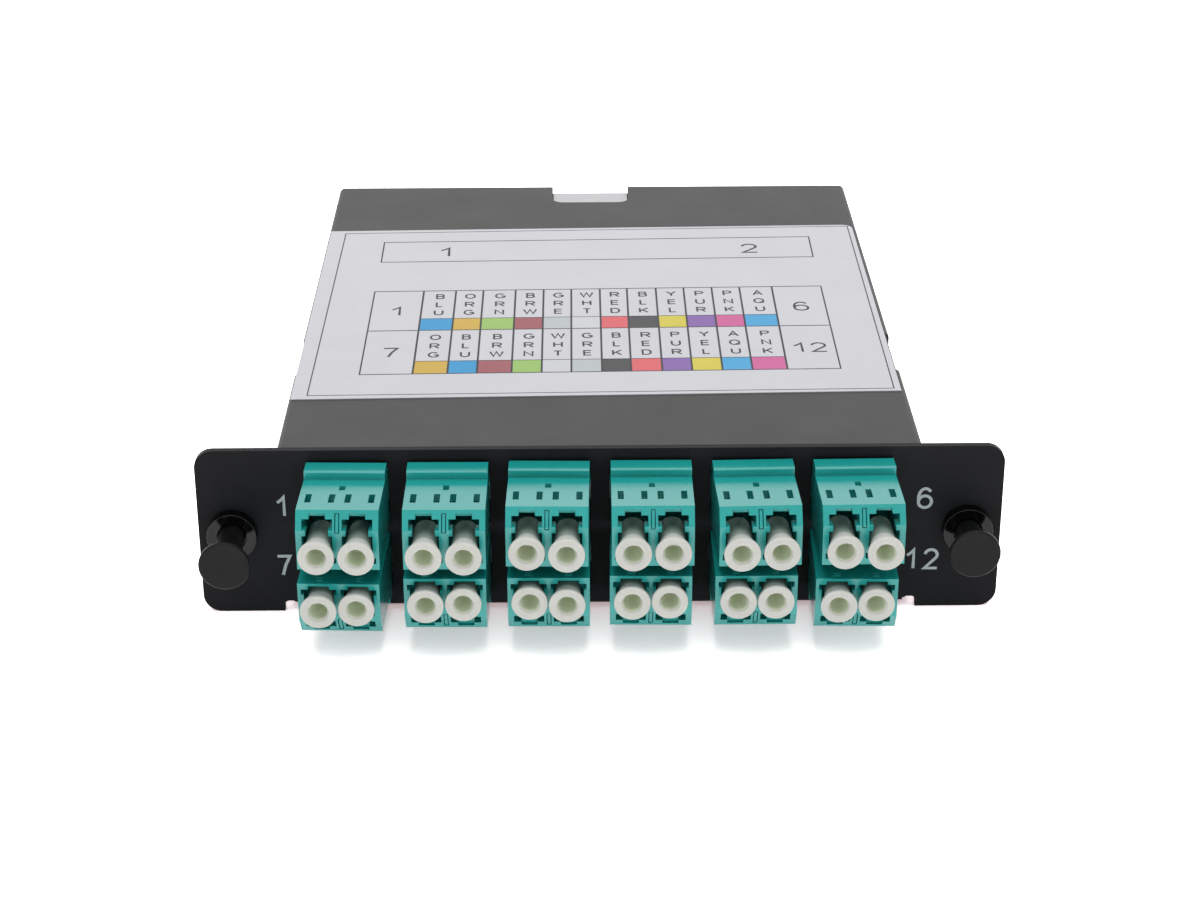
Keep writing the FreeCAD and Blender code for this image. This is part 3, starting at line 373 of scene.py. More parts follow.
# %% The cassette's finishes
# A line gives the darkest and lightest colour, the grain and its lift, the roughness range and the specular
# level. MILKY is how far red, green and blue light run in the caps' plastic, as shares of the scale in
# metres.
MILKY = (0.9, 1.0, 0.8)
grey_coat = make_finish("grey_powder_coat", (51, 51, 52), (66, 66, 67), 0.45, 0.016, (0.6, 0.7), 0.35)
black_coat = make_finish("black_powder_coat", (25, 26, 28), (32, 33, 35), 0.35, 0.003, (0.4, 0.5), 0.05)
aqua_moulding = make_finish("aqua_moulding", (26, 154, 149), (36, 162, 157), 0.8, 0.0015, (0.16, 0.24), 0.5)
cap_moulding = make_finish("cap_moulding", (198, 198, 193), (206, 206, 201), 0.7, 0.002, (0.5, 0.6), 0.25,
                           Subsurface_Weight=0.6, Subsurface_Scale=0.0008, Subsurface_Radius=MILKY)
# The shank's finish is darker and greener than the ring's: painted shade where the shank goes into the port,
# tinted by the aqua around it.
cap_shank_painted_shade = make_finish("cap_shank_painted_shade", (160, 172, 163), (169, 181, 172), 0.7, 0.002, (0.5, 0.6), 0.2,
                        Subsurface_Weight=0.3, Subsurface_Scale=0.0008, Subsurface_Radius=MILKY)
# The hole's finish is lighter and greener than the ring's: painted light, tinted by the aqua adapters around
# it.
cap_hole_painted_light = make_finish("cap_hole_painted_light", (214, 221, 200), (223, 229, 210), 0.7, 0.002, (0.5, 0.6), 0.2,
                       Subsurface_Weight=0.8, Subsurface_Scale=0.001, Subsurface_Radius=MILKY)
black_moulding = make_finish("black_moulding", (5, 6, 7), (8, 9, 10), 1.2, 0.0005, (0.05, 0.09), 0.22)
plunger_head = make_finish("plunger_head", (25, 25, 26), (30, 30, 31), 1.2, 0.0005, (0.3, 0.4), 0.08)
# The stem is a darker copy of the head's finish: painted shade under the head.
plunger_stem_painted_shade = make_finish("plunger_stem_painted_shade", (9, 10, 11), (12, 13, 14), 1.2, 0.0005, (0.35, 0.45), 0.1)
matt_black = make_finish("matt_black_moulding", (24, 24, 25), (32, 32, 33), 0.6, 0.006, (0.45, 0.58), 0.3)
chart_paper = make_finish("chart_paper", (204, 204, 209), (210, 210, 215), 0.25, 0.004, (0.6, 0.75), 0.25,
                          8.0)
seal_paper = make_finish("seal_paper", (183, 184, 186), (191, 192, 194), 0.25, 0.003, (0.4, 0.5), 0.3, 6.0)
aqua_jacket = make_finish("aqua_jacket", (60, 165, 165), (78, 182, 178), 0.5, 0.01, (0.45, 0.6), 0.4)
plate_ink = make_finish("plate_ink", (172, 180, 180), (184, 191, 191), 0.3, 0.002, (0.5, 0.6), 0.3)
chart_ink = make_finish("chart_ink", (58, 58, 62), (72, 72, 76), 0.2, 0.002, (0.6, 0.7), 0.2)
screw_steel = make_finish("screw_black", (26, 26, 27), (38, 38, 39), 0.3, 0.004, (0.3, 0.42), 0.5)
print("finishes:", len(bpy.data.materials))

# %% [markdown]
# ## Studio
# The cassette stands on a white floor under a broad, soft light from above. A sun with a wide angle gives
# that light evenly, and the world gives the rest, so that a colour comes out about as it is written. Two
# glowing cards are added, as a photographer would set them: a low one in front opens the shadows under the
# ports, and a wide one far behind lays the sheen on the adapters' roofs. The floor shows whiter than it is
# lit, because its extra brightness is only for the rays that show it, straight or mirrored, and none of it
# lights the cassette.

# %% The rays that show a thing


def seen_ray(tree):
    """1 for the rays that show a thing, straight, mirrored or through glass, and 0 for those that light
    it."""
    rays = tree.nodes.new("ShaderNodeLightPath")
    seen = rays.outputs["Is Camera Ray"]
    for other in ("Is Glossy Ray", "Is Transmission Ray"):
        either = tree.nodes.new("ShaderNodeMath")
        either.operation = "MAXIMUM"
        tree.links.new(seen, either.inputs[0])
        tree.links.new(rays.outputs[other], either.inputs[1])
        seen = either.outputs["Value"]
    return seen


print("floor and sky show their own white to camera, glossy and transmission rays")

# %% The floor
FLOOR_HALF = 6000.0
FLOOR_GLOW = (0.40, 0.30, 0.31)
FLOOR_LIFT = (1.25, 1.2, 1.205)

floor_finish = make_finish("studio_white", (250, 250, 250), (252, 252, 252), 30.0, 0.001, (0.85, 0.9), 0.0,
                           400.0)
floor_tree = floor_finish.node_tree
plain_floor = floor_tree.nodes["Principled BSDF"].outputs["BSDF"]
glow = floor_tree.nodes.new("ShaderNodeEmission")
glow.inputs["Color"].default_value = (*FLOOR_GLOW, 1.0)
lift = floor_tree.nodes.new("ShaderNodeBsdfDiffuse")
lift.inputs["Color"].default_value = (*FLOOR_LIFT, 1.0)
extra_light = floor_tree.nodes.new("ShaderNodeAddShader")
floor_tree.links.new(glow.outputs["Emission"], extra_light.inputs[0])
floor_tree.links.new(lift.outputs["BSDF"], extra_light.inputs[1])
seen_floor = floor_tree.nodes.new("ShaderNodeAddShader")
floor_tree.links.new(plain_floor, seen_floor.inputs[0])
floor_tree.links.new(extra_light.outputs["Shader"], seen_floor.inputs[1])
floor_choice = floor_tree.nodes.new("ShaderNodeMixShader")
floor_tree.links.new(seen_ray(floor_tree), floor_choice.inputs["Fac"])
floor_tree.links.new(plain_floor, floor_choice.inputs[1])
floor_tree.links.new(seen_floor.outputs["Shader"], floor_choice.inputs[2])
floor_tree.links.new(floor_choice.outputs["Shader"], floor_tree.nodes["Material Output"].inputs["Surface"])

floor_mesh = bpy.data.meshes.new("studio_floor")
floor_corners = np.array([[-1, -1, 0], [1, -1, 0], [1, 1, 0], [-1, 1, 0]], float) * FLOOR_HALF * MM
floor_mesh.from_pydata(floor_corners.tolist(), [], [[0, 1, 2, 3]])
floor_mesh.materials.append(floor_finish)
floor = bpy.data.objects.new("studio_floor", floor_mesh)
bpy.context.scene.collection.objects.link(floor)
print("floor from %.0f to %.0f mm" % (-FLOOR_HALF, FLOOR_HALF))

# %% The sky
WHITE = (1.0, 1.0, 1.0, 1.0)
SKY_ON_OBJECT = 0.35
SKY_SEEN = 1.0

world = bpy.data.worlds.new("studio_sky")
world.use_nodes = True
bpy.context.scene.world = world
sky = world.node_tree
plain_sky = sky.nodes["Background"]
plain_sky.inputs["Color"].default_value = WHITE
plain_sky.inputs["Strength"].default_value = SKY_ON_OBJECT
seen_sky = sky.nodes.new("ShaderNodeBackground")
seen_sky.inputs["Color"].default_value = WHITE
seen_sky.inputs["Strength"].default_value = SKY_SEEN
sky_choice = sky.nodes.new("ShaderNodeMixShader")
sky.links.new(seen_ray(sky), sky_choice.inputs["Fac"])
sky.links.new(plain_sky.outputs["Background"], sky_choice.inputs[1])
sky.links.new(seen_sky.outputs["Background"], sky_choice.inputs[2])
sky.links.new(sky_choice.outputs["Shader"], sky.nodes["World Output"].inputs["Surface"])
print("sky on the object %.2f, sky as seen %.2f" % (SKY_ON_OBJECT, SKY_SEEN))

# %% The lamp and two cards
LAMP_STRENGTH = 1.85
LAMP_SPREAD = 62.0
FILL_POWER = 0.15
FILL_AWAY = 220.0
FILL_SIZE = (240.0, 24.0)
FILL_LOW = 0.0
REAR_POWER = 1.8
REAR_AWAY = 700.0
REAR_SIZE = (1400.0, 460.0)
REAR_LOW = 60.0
TO_REAR = 90.0
TO_FRONT = -90.0

lamp_data = bpy.data.lights.new("overhead_softbox", "SUN")
lamp_data.energy = LAMP_STRENGTH
lamp_data.angle = math.radians(LAMP_SPREAD)
lamp = bpy.data.objects.new("overhead_softbox", lamp_data)
bpy.context.scene.collection.objects.link(lamp)


def add_card(name, power, size, y, low, turn):
    """An upright glowing card that the camera doesn't see. Its width and height, its place along y and the
    height of its lower edge are in millimetres, and it is turned about x, in degrees, to shine to the rear or
    to the front."""
    card_data = bpy.data.lights.new(name, "AREA")
    card_data.shape = "RECTANGLE"
    card_data.size, card_data.size_y = size[0] * MM, size[1] * MM
    card_data.energy = power
    card = bpy.data.objects.new(name, card_data)
    card.location = (0, y * MM, (low + size[1] / 2) * MM)
    card.rotation_euler = (math.radians(turn), 0, 0)
    card.visible_camera = False
    bpy.context.scene.collection.objects.link(card)


add_card("low_front_card", FILL_POWER, FILL_SIZE, PLATE_FACE - FILL_AWAY, FILL_LOW, TO_REAR)
add_card("rear_card", REAR_POWER, REAR_SIZE, PLATE_FACE + REAR_AWAY, REAR_LOW, TO_FRONT)
print("lamp %.2f over pi = %.2f, cards %.2f and %.2f W" % (
    LAMP_STRENGTH, LAMP_STRENGTH / math.pi, FILL_POWER, REAR_POWER))

# %% [markdown]
# ## Sheet metal and mouldings with soft edges
# The folded tray, the cover and the adapters have the right shape already. What they lack is the small
# rounding that a coat of powder or a mould leaves on every edge, which is where the light catches. A copy of
# each solid is merged and its flat triangles are joined into whole faces, and then a narrow Bevel goes round
# the sharp edges. Weighted normals keep the flats looking flat.

# %% A rounded copy of a solid
# SAME_POINT is in metres, as the solids are, the angles are in degrees, and the roundings in millimetres.
SAME_POINT = 1e-6
FLAT_WITHIN = 0.5
BEVEL_FROM = 30
NEVER_SHARP = 180
TRAY_ROUNDING = 0.16
COVER_ROUNDING = 0.14


def rounded_copy(node, bevel, material, segments=2, extra=None):
    """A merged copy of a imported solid, with its edges rounded by a bevel in millimetres where they turn far
    enough. Extra is one more bmesh that belongs to the piece."""
    source = frame["nodes"][node]
    shape = bmesh.new()
    shape.from_mesh(source.data)
    bmesh.ops.remove_doubles(shape, verts=shape.verts, dist=SAME_POINT)
    bmesh.ops.dissolve_limit(shape, angle_limit=math.radians(FLAT_WITHIN), verts=shape.verts,
                             edges=shape.edges)
    if extra is not None:
        join(shape, extra)
    mesh = finished_mesh(node + "_rounded", shape, NEVER_SHARP)
    piece = add_piece(node + "_rounded", mesh, [material], source["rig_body"], [node])
    rounding = piece.modifiers.new("soft edges", "BEVEL")
    rounding.width = bevel * MM
    rounding.segments = segments
    rounding.limit_method = "ANGLE"
    rounding.angle_limit = math.radians(BEVEL_FROM)
    rounding.use_clamp_overlap = True
    weighting = piece.modifiers.new("flat faces", "WEIGHTED_NORMAL")
    weighting.keep_sharp = True
    return piece


tray = rounded_copy("base_tray", TRAY_ROUNDING, black_coat)
cover = rounded_copy("cover", COVER_ROUNDING, grey_coat)
print("tray faces:", len(tray.data.polygons), "cover faces:", len(cover.data.polygons))

# %% [markdown]
# ## Where each adapter leans
# A duplex adapter sits loosely in its cut-out, and no two in the picture stand quite alike. The lean of each
# one, to the right and down at its front, is repeated here in degrees, because the smooth dust caps have to
# stand in the same ports as the solid ones.

# %% The adapters' places
COLUMNS = 6
COLUMN_PITCH = 16.2
ROW_HEIGHTS = (20.925, 9.425)
PIVOT = 0.6
LEAN_RIGHT = [-1.75, -0.58, -1.31, -0.26, 1.65, 1.10, -2.36, -0.85, -0.73, -1.29, -0.06, -1.54]
LEAN_DOWN = [0.49, 0.91, -0.58, -0.52, -0.09, -0.40, 2.22, -0.10, -0.10, -0.76, -0.46, 1.61]


def adapter_place(number):
    """Turn about y by half a turn below, lean down about x, lean right about z, all about a point in the
    plate's thickness, and move to the column and row."""
    column, upper = (number - 1) % COLUMNS, number <= COLUMNS
    x = (column - (COLUMNS - 1) / 2) * COLUMN_PITCH
    lean = turn_about("z", math.radians(LEAN_RIGHT[number - 1])) @ turn_about(
        "x", math.radians(LEAN_DOWN[number - 1]))
    turn = lean @ turn_about("y", 0 if upper else math.pi)
    return seat(x, PLATE_FACE + PIVOT, ROW_HEIGHTS[0 if upper else 1], turn) @ seat(0, -PIVOT, 0)


print("adapter 1 stands at", adapter_place(1)[:3, 3].round(3).tolist())

# %% [markdown]
# ## Duplex adapters
# Each adapter is one moulding: two ports with a keyway for the plug's latch, narrow windows in the roof where
# the mould's cores met, and a stop bar behind. It is the most intricate piece here, so its solid has all the
# openings, and the bevel is narrow enough to leave the steps of the port crisp. One thing is added: the thin
# rib in the groove between the ports, where the two halves of the moulding meet.

# %% Dress the twelve adapters
ADAPTERS = 12
ADAPTER_REACH = 16.16
ADAPTER_ROUNDING = 0.1
RIB_WIDTH = 0.47
RIB_SECTION = np.array([(0.08, 1.645), (0.12, 1.93), (1.47, 4.165), (2.4, 4.165), (2.4, 1.645)])


def seam_rib(number):
    """A bmesh of the thin rib in the groove between the ports, a hair behind the front and as steep as it.
    Its section is given as depth behind the front and height over the adapter's middle, and each of its
    points is set at x = - width / 2 and at x = + width / 2."""
    depth, level = RIB_SECTION.T
    count = len(depth)
    sides = [np.column_stack([np.full(count, x), depth - ADAPTER_REACH, level])
             for x in (-RIB_WIDTH / 2, RIB_WIDTH / 2)]
    points = placed(np.vstack(sides), adapter_place(number))
    return solid_from_points(points, grid_faces(2, count, True), [range(count), range(count, 2 * count)])


for number in range(1, ADAPTERS + 1):
    adapter = rounded_copy("lc_adapter_%02d" % number, ADAPTER_ROUNDING, aqua_moulding,
                           extra=seam_rib(number))
print("adapter faces:", len(adapter.data.polygons))

# %% [markdown]
# ## Dust caps
# A dust cap is a soft, milky plug: a thick ring for a head, a blind hole up its middle, and a shank that
# flares into the head. Here one profile is spun about the port's axis. The rims are rounded, the hole
# narrows a little to its floor as a moulded hole does, and the milky plastic lets some light through. Ring,
# hole and shank have a finish each: the hole's is lighter and greener than the ring's, which is painted light
# tinted by the aqua adapters, and the shank's is darker and greener, which is painted shade from the port.

# %% Spin the caps
# CAP_CROWD is how far the caps stand towards the adapter's middle, in the upper and in the lower row, and
# CAP_SEAT how far each cap stands out from the mean.
CAP_SEGMENTS = 56
PORT_HALF_PITCH = 3.125
CAP_CROWD = (0.02, 0.19)
ADAPTER_HEIGHT = 9.55
PORT_LEVEL = 3.33
PORT_AXIS = PORT_LEVEL - ADAPTER_HEIGHT / 2
CAP_OUT = 2.85
CAP_FRONT = ADAPTER_REACH + CAP_OUT
CAP_HOLE = 1.6
HOLE_DEPTHS = (0.3, 5.2)
CAP_SHANK_START = 3.0
CAP_SEAT = [
    -0.06, 0.04, -0.02, 0.08, -0.37, 0.20, 0.02, -0.12, 0.06, -0.04, -0.28, 0.27,
    0.32, -0.41, 0.24, -0.39, -0.57, 0.24, 0.10, -0.37, -0.17, -0.15, 0.16, -0.37,
]
CAP_CORNERS = [(5.0, 0), (5.0, 1.22), (0.45, 1.45), (0, 1.75), (0, 2.85), (0.6, 2.85), (1.7, 2.3),
               (3.2, 2.1), (9.5, 2.05), (9.5, 0)]
CAP_RADII = [0.35, 0.35, 0.2, 0.14, 0.25, 0.9, 0.8, 0.35]
cap_profile = round_profile(CAP_CORNERS, CAP_RADII)


def add_dust_cap(index, number, side):
    """The cap of one port of an adapter: side is -1 or 1 as the front shows it. A face takes its finish from
    its middle's radius and depth in the cap: 0 is the ring, 1 the hole, with painted light, and 2 the shank,
    with painted shade."""
    upper = number <= COLUMNS
    own_side = side if upper else -side
    x = own_side * (PORT_HALF_PITCH - CAP_CROWD[0 if upper else 1])
    place = adapter_place(number) @ seat(x, -CAP_FRONT - CAP_SEAT[index - 1], PORT_AXIS)
    name = "dust_cap_%02d" % index
    mesh = finished_mesh(name + "_turned", turned_shape(cap_profile, CAP_SEGMENTS, place))
    piece = add_piece(name + "_turned", mesh, [cap_moulding, cap_hole_painted_light, cap_shank_painted_shade], name,
                      [name])
    across, depth, up = placed(face_middles(mesh), np.linalg.inv(place)).T
    radius = np.hypot(across, up)
    # The hole's faces take the lighter, greener finish, which is painted light.
    in_hole = (radius < CAP_HOLE) & (depth > HOLE_DEPTHS[0]) & (depth < HOLE_DEPTHS[1])
    # The shank's faces take the darker, greener finish, which is painted shade.
    on_shank = (radius > CAP_HOLE) & (depth > CAP_SHANK_START)
    mesh.polygons.foreach_set("material_index", np.where(on_shank, 2, in_hole).astype(np.int32))
    return piece


for index in range(1, 2 * ADAPTERS + 1):
    cap = add_dust_cap(index, (index + 1) // 2, -1 if index % 2 else 1)
print("caps:", 2 * ADAPTERS, "faces each:", len(cap.data.polygons))

# %% [markdown]
# ## Push-pull latches
# A push-pull latch is a slit grommet in the plate and a plunger that spreads it. The plunger is a mushroom,
# so it is spun from a profile with a thin rounded rim and a flat underside, which comes to rest just off the
# flange when the plunger is pushed in. Its stem is painted darker than its head, as painted shade under the
# head, and its catch is a small block at the far end. The grommet keeps its solid, slit and all, with a
# rounder flange.

# %% Spin the plungers and round the grommets
LATCH_X = 59.45
LATCH_Z = 14.5
PLUNGER_OUT = {"left": 12.1, "right": 9.9}
BARREL_END = 6.5
CATCH_GAP = 0.2
CATCH = (5.4, 1.0, 1.6)
PLUNGER_END = PLUNGER_OUT["left"] + BARREL_END + CATCH_GAP + CATCH[1]
PLUNGER_CORNERS = [(0, 0), (0, 4.1), (0.75, 4.1), (1.3, 3.5), (1.42, 2.2),
                   (PLUNGER_END, 2.2), (PLUNGER_END, 0)]
PLUNGER_RADII = [0.35, 0.25, 0.25, 0.06, 0.3]
PLUNGER_SEGMENTS = 72
HEAD_DEPTH = 2.0
GROMMET_ROUNDING = 0.35
plunger_profile = round_profile(PLUNGER_CORNERS, PLUNGER_RADII)


def block_shape(size, middle):
    """A bmesh block of a size in millimetres about its middle."""
    shape = bmesh.new()
    bmesh.ops.create_cube(shape, size=1.0)
    bmesh.ops.scale(shape, vec=[s * MM for s in size], verts=shape.verts)
    bmesh.ops.translate(shape, vec=[m * MM for m in middle], verts=shape.verts)
    return shape


def add_plunger(side, sign):
    """Head, stem and catch as one piece that rides with the plunger. Faces deeper than the head take the
    stem's darker finish, which is painted shade under the head."""
    place = seat(sign * LATCH_X, PLATE_FACE - PLUNGER_OUT[side], LATCH_Z)
    shape = turned_shape(plunger_profile, PLUNGER_SEGMENTS, place)
    middle = placed(np.array([[0, PLUNGER_END - CATCH[1] / 2, 0]]), place)[0]
    join(shape, block_shape(CATCH, middle))
    name = "latch_plunger_" + side
    mesh = finished_mesh(name + "_turned", shape)
    piece = add_piece(name + "_turned", mesh, [plunger_head, plunger_stem_painted_shade], name, [name])
    depth = placed(face_middles(mesh), np.linalg.inv(place))[:, 1]
    mesh.polygons.foreach_set("material_index", (depth > HEAD_DEPTH).astype(np.int32))
    return piece


for side, sign in (("left", -1), ("right", 1)):
    plunger = add_plunger(side, sign)
    grommet = rounded_copy("latch_grommet_" + side, GROMMET_ROUNDING, black_moulding, 3)
print("plunger faces:", len(plunger.data.polygons), "grommet faces:", len(grommet.data.polygons))

# %% [markdown]
# ## Rear adapters and what is inside
# The two multi-fibre adapters in the rear wall and their caps are plain mouldings, and keep the solids'
# shapes with soft edges. The harness in the closed box and the two papers keep the solids themselves, so
# they only get a finish.

# %% Dress the rear, the inside and the papers
REAR_ROUNDING = 0.2
REAR_CAP_ROUNDING = 0.35
for number in (1, 2):
    rounded_copy("mpo_adapter_%d" % number, REAR_ROUNDING, matt_black)
    rounded_copy("mpo_dust_cap_%d" % number, REAR_CAP_ROUNDING, matt_black, 3)
plain_finishes = {"mpo_plug_1": matt_black, "mpo_plug_2": matt_black, "fanout_stand": matt_black,
                  "lc_plugs_upper_row": aqua_moulding, "lc_plugs_lower_row": aqua_moulding,
                  "fibre_fan_1": aqua_jacket, "fibre_fan_2": aqua_jacket,
                  "port_label": chart_paper, "seal_sticker": seal_paper}
for node, finish in plain_finishes.items():
    mesh = frame["nodes"][node].data
    mesh.materials.clear()
    mesh.materials.append(finish)
print("solids with a new finish only:", len(plain_finishes))

# %% [markdown]
# ## Drawn lines and plain lettering
# The chart is printed with ruled lines and plain capitals of one line width. A font would do, but its figures
# have serifs that the real ones lack, so each letter is written as a few strokes: straight runs and parts of
# ellipses in a box one unit high. A stroke becomes a thin solid bar of ink, four corners of a section carried
# along the path.

# %% Strokes of the letters and figures


def run(*points):
    """A straight or broken line through points."""
    return np.array(points, float)


def bow(x, y, wide, tall, start, end, steps=14):
    """Part of an ellipse: x + wide cos t, y + tall sin t, with t from start to end in degrees."""
    t = np.radians(np.linspace(start, end, steps))
    return np.stack([x + wide * np.cos(t), y + tall * np.sin(t)], -1)


ROUND = bow(0.5, 0.5, 0.5, 0.5, 0, 360, 28)
P_BOWL = [run((0, 0), (0, 1), (0.6, 1)), bow(0.6, 0.745, 0.4, 0.255, 90, -90), run((0.6, 0.49), (0, 0.49))]
GLYPHS = {
    "A": (0.80, [run((0, 0), (0.5, 1), (1, 0)), run((0.18, 0.34), (0.82, 0.34))]),
    "B": (0.68, [run((0.6, 0), (0, 0), (0, 1), (0.58, 1)), bow(0.58, 0.765, 0.36, 0.235, 90, -90),
                 run((0.6, 0.53), (0, 0.53)), bow(0.6, 0.265, 0.4, 0.265, 90, -90)]),
    "D": (0.74, [run((0.5, 0), (0, 0), (0, 1), (0.5, 1)), bow(0.5, 0.5, 0.5, 0.5, 90, -90)]),
    "E": (0.66, [run((1, 1), (0, 1), (0, 0), (1, 0)), run((0, 0.53), (0.92, 0.53))]),
    "G": (0.82, [bow(0.5, 0.5, 0.5, 0.5, 42, 335, 24), run((0.98, 0.1), (0.98, 0.46), (0.56, 0.46))]),
    "H": (0.72, [run((0, 0), (0, 1)), run((1, 0), (1, 1)), run((0, 0.53), (1, 0.53))]),
    "K": (0.74, [run((0, 0), (0, 1)), run((1, 1), (0, 0.34)), run((0.34, 0.57), (1, 0))]),
    "L": (0.58, [run((0, 1), (0, 0), (1, 0))]),
    "N": (0.74, [run((0, 0), (0, 1), (1, 0), (1, 1))]),
    "O": (0.84, [ROUND]),
    "P": (0.70, P_BOWL),
    "Q": (0.84, [ROUND, run((0.62, 0.26), (1, 0))]),
    "R": (0.74, P_BOWL + [run((0.52, 0.49), (1, 0))]),
    "T": (0.70, [run((0, 1), (1, 1)), run((0.5, 1), (0.5, 0))]),
    "U": (0.74, [run((0, 1), (0, 0.34)), bow(0.5, 0.34, 0.5, 0.34, 180, 360), run((1, 0.34), (1, 1))]),
    "W": (1.08, [run((0, 1), (0.25, 0), (0.5, 1), (0.75, 0), (1, 1))]),
    "Y": (0.78, [run((0, 1), (0.5, 0.45), (1, 1)), run((0.5, 0.45), (0.5, 0))]),
    "1": (0.36, [run((0, 0.7), (0.6, 0.84), (1, 1), (1, 0))]),
    "2": (0.60, [bow(0.5, 0.72, 0.47, 0.28, 172, -38), run((0.87, 0.55), (0.02, 0), (1, 0))]),
    "6": (0.60, [bow(0.5, 0.31, 0.5, 0.31, 0, 360, 24), bow(0.52, 0.5, 0.52, 0.5, 42, 192, 18)]),
    "7": (0.58, [run((0, 1), (1, 1), (0.62, 0.52), (0.38, 0))]),
}
print("letters and figures:", "".join(sorted(GLYPHS)))

# %% A stroke as a bar of ink
# INK is the thickness of the ink, and STROKE_STEP how much higher each further stroke of a letter lies, so
# that crossing strokes don't share a plane.
INK = 0.02
STROKE_STEP = 0.0015
LEAST_COSINE = 0.3
MOST_STRETCH = 2.2


def bar_points(path, width, low, high):
    """Carry a four-cornered section along a flat path. With n the mean normal of the two runs that meet at a
    point, stretched so that the width is kept, up to a limit in sharp turns, the corners are
    path +- n width / 2 at both levels."""
    steps = np.diff(path, axis=0)
    steps /= np.linalg.norm(steps, axis=1, keepdims=True)
    before, after = np.vstack([steps[:1], steps]), np.vstack([steps, steps[-1:]])
    closed = np.allclose(path[0], path[-1])
    if closed:
        before[0], after[-1] = steps[-1], steps[0]
    mean = before + after
    mean /= np.linalg.norm(mean, axis=1, keepdims=True)
    cosine = (mean * before).sum(1, keepdims=True)
    stretch = np.minimum(1 / np.maximum(cosine, LEAST_COSINE), MOST_STRETCH)
    side = np.stack([-mean[:, 1], mean[:, 0]], -1) * stretch * width / 2
    corner = [path + side, path - side, path - side, path + side]
    level = [high, high, low, low]
    section = [np.column_stack([c, np.full(len(path), z)]) for c, z in zip(corner, level)]
    return np.stack(section, 1).reshape(-1, 3)


def bars_mesh(name, bars, place):
    """One mesh of many bars, each a (path, width, low, high), on the plane that place gives."""
    whole = bmesh.new()
    for path, width, low, high in bars:
        points = placed(bar_points(path, width, low, high), place)
        count = 4 * len(path)
        part = solid_from_points(points, grid_faces(len(path), 4, True),
                                 [(0, 1, 2, 3), (count - 1, count - 2, count - 3, count - 4)])
        bmesh.ops.recalc_face_normals(part, faces=part.faces)
        join(whole, part)
    mesh = bpy.data.meshes.new(name)
    whole.to_mesh(mesh)
    whole.free()
    return mesh


def written(text, middle, height, width, slant=0.0, gap=0.16, stretch=1.0):
    """Bars for a short text about its middle: each letter's box is scaled to the height, and the outer edges
    of its strokes touch the box."""
    widths = [GLYPHS[letter][0] * height * stretch for letter in text]
    start = -(sum(widths) + gap * height * (len(text) - 1)) / 2
    turn = turn_about("z", slant)[:2, :2]
    bars = []
    for letter, wide in zip(text, widths):
        for k, stroke in enumerate(GLYPHS[letter][1]):
            inner = np.array([wide - width, height - width])
            path = stroke * inner + width / 2 + np.array([start, -height / 2])
            bars.append((path @ turn.T + np.asarray(middle), width, 0.0, INK + STROKE_STEP * k))
        start += wide + gap * height
    return bars


print("a bar of two points has", len(bar_points(run((0, 0), (1, 0)), 0.2, 0, 0.1)), "corners")

# %% [markdown]
# ## The port chart
# The chart says which fibre colour goes to which port, in two rows of twelve. Its ruled lines run a degree
# out of square with the cover, as the paper was stuck on, so the table is drawn through its four measured
# corners: a share across and a share up give the place between them.

# %% Corners and lines of the chart
TABLE = np.array([(-40.84, 32.18), (41.86, 33.47), (42.01, 72.46), (-40.83, 70.99)])
HEADER = np.array([(-40.68, 86.31), (41.98, 87.85), (42.08, 98.98), (-40.74, 97.16)])
BORDER = np.array([(-48.97, 23.41), (50.00, 24.88), (50.25, 104.83), (-48.66, 102.28)])
COLUMN_LINES = np.array([-31.76, -25.81, -20.76, -14.80, -9.62, -4.51, 0.77, 5.78, 11.14, 16.28, 21.50, 26.66,
                         32.69])
COLUMN_RULE = 0.34
RULE = 0.26
THIN_RULE = 0.2
RULE_STEP = 0.002
STRIP = 5.5
SLANT = math.radians(1.02)
MIDDLE_ROW = 0.505


def between(corners, across, up):
    """The point at shares across and up of a four-cornered field, by bilinear interpolation."""
    low = corners[0] + (corners[1] - corners[0]) * across
    high = corners[3] + (corners[2] - corners[3]) * across
    return low + (high - low) * up


def closed_loop(corners):
    """A ruled frame, closed on its first corner."""
    return np.vstack([corners, corners[:1]])


shares = (COLUMN_LINES - TABLE[0, 0]) / (TABLE[1, 0] - TABLE[0, 0])
table_height = TABLE[3, 1] - TABLE[0, 1]
rules = [(closed_loop(BORDER), THIN_RULE, 0, INK), (closed_loop(HEADER), RULE, 0, INK),
         (closed_loop(TABLE), RULE, 0, INK)]
column_top, row_top = INK + RULE_STEP, INK + 2 * RULE_STEP
for share in shares:
    rules.append((np.array([between(TABLE, share, 0), between(TABLE, share, 1)]), COLUMN_RULE, 0, column_top))
rules.append((np.array([between(TABLE, 0, MIDDLE_ROW), between(TABLE, 1, MIDDLE_ROW)]), RULE, 0, row_top))
for base in (0, MIDDLE_ROW):
    up = base + STRIP / table_height
    rules.append((np.array([between(TABLE, shares[0], up), between(TABLE, shares[-1], up)]),
                  THIN_RULE, 0, row_top))
print("ruled lines:", len(rules))

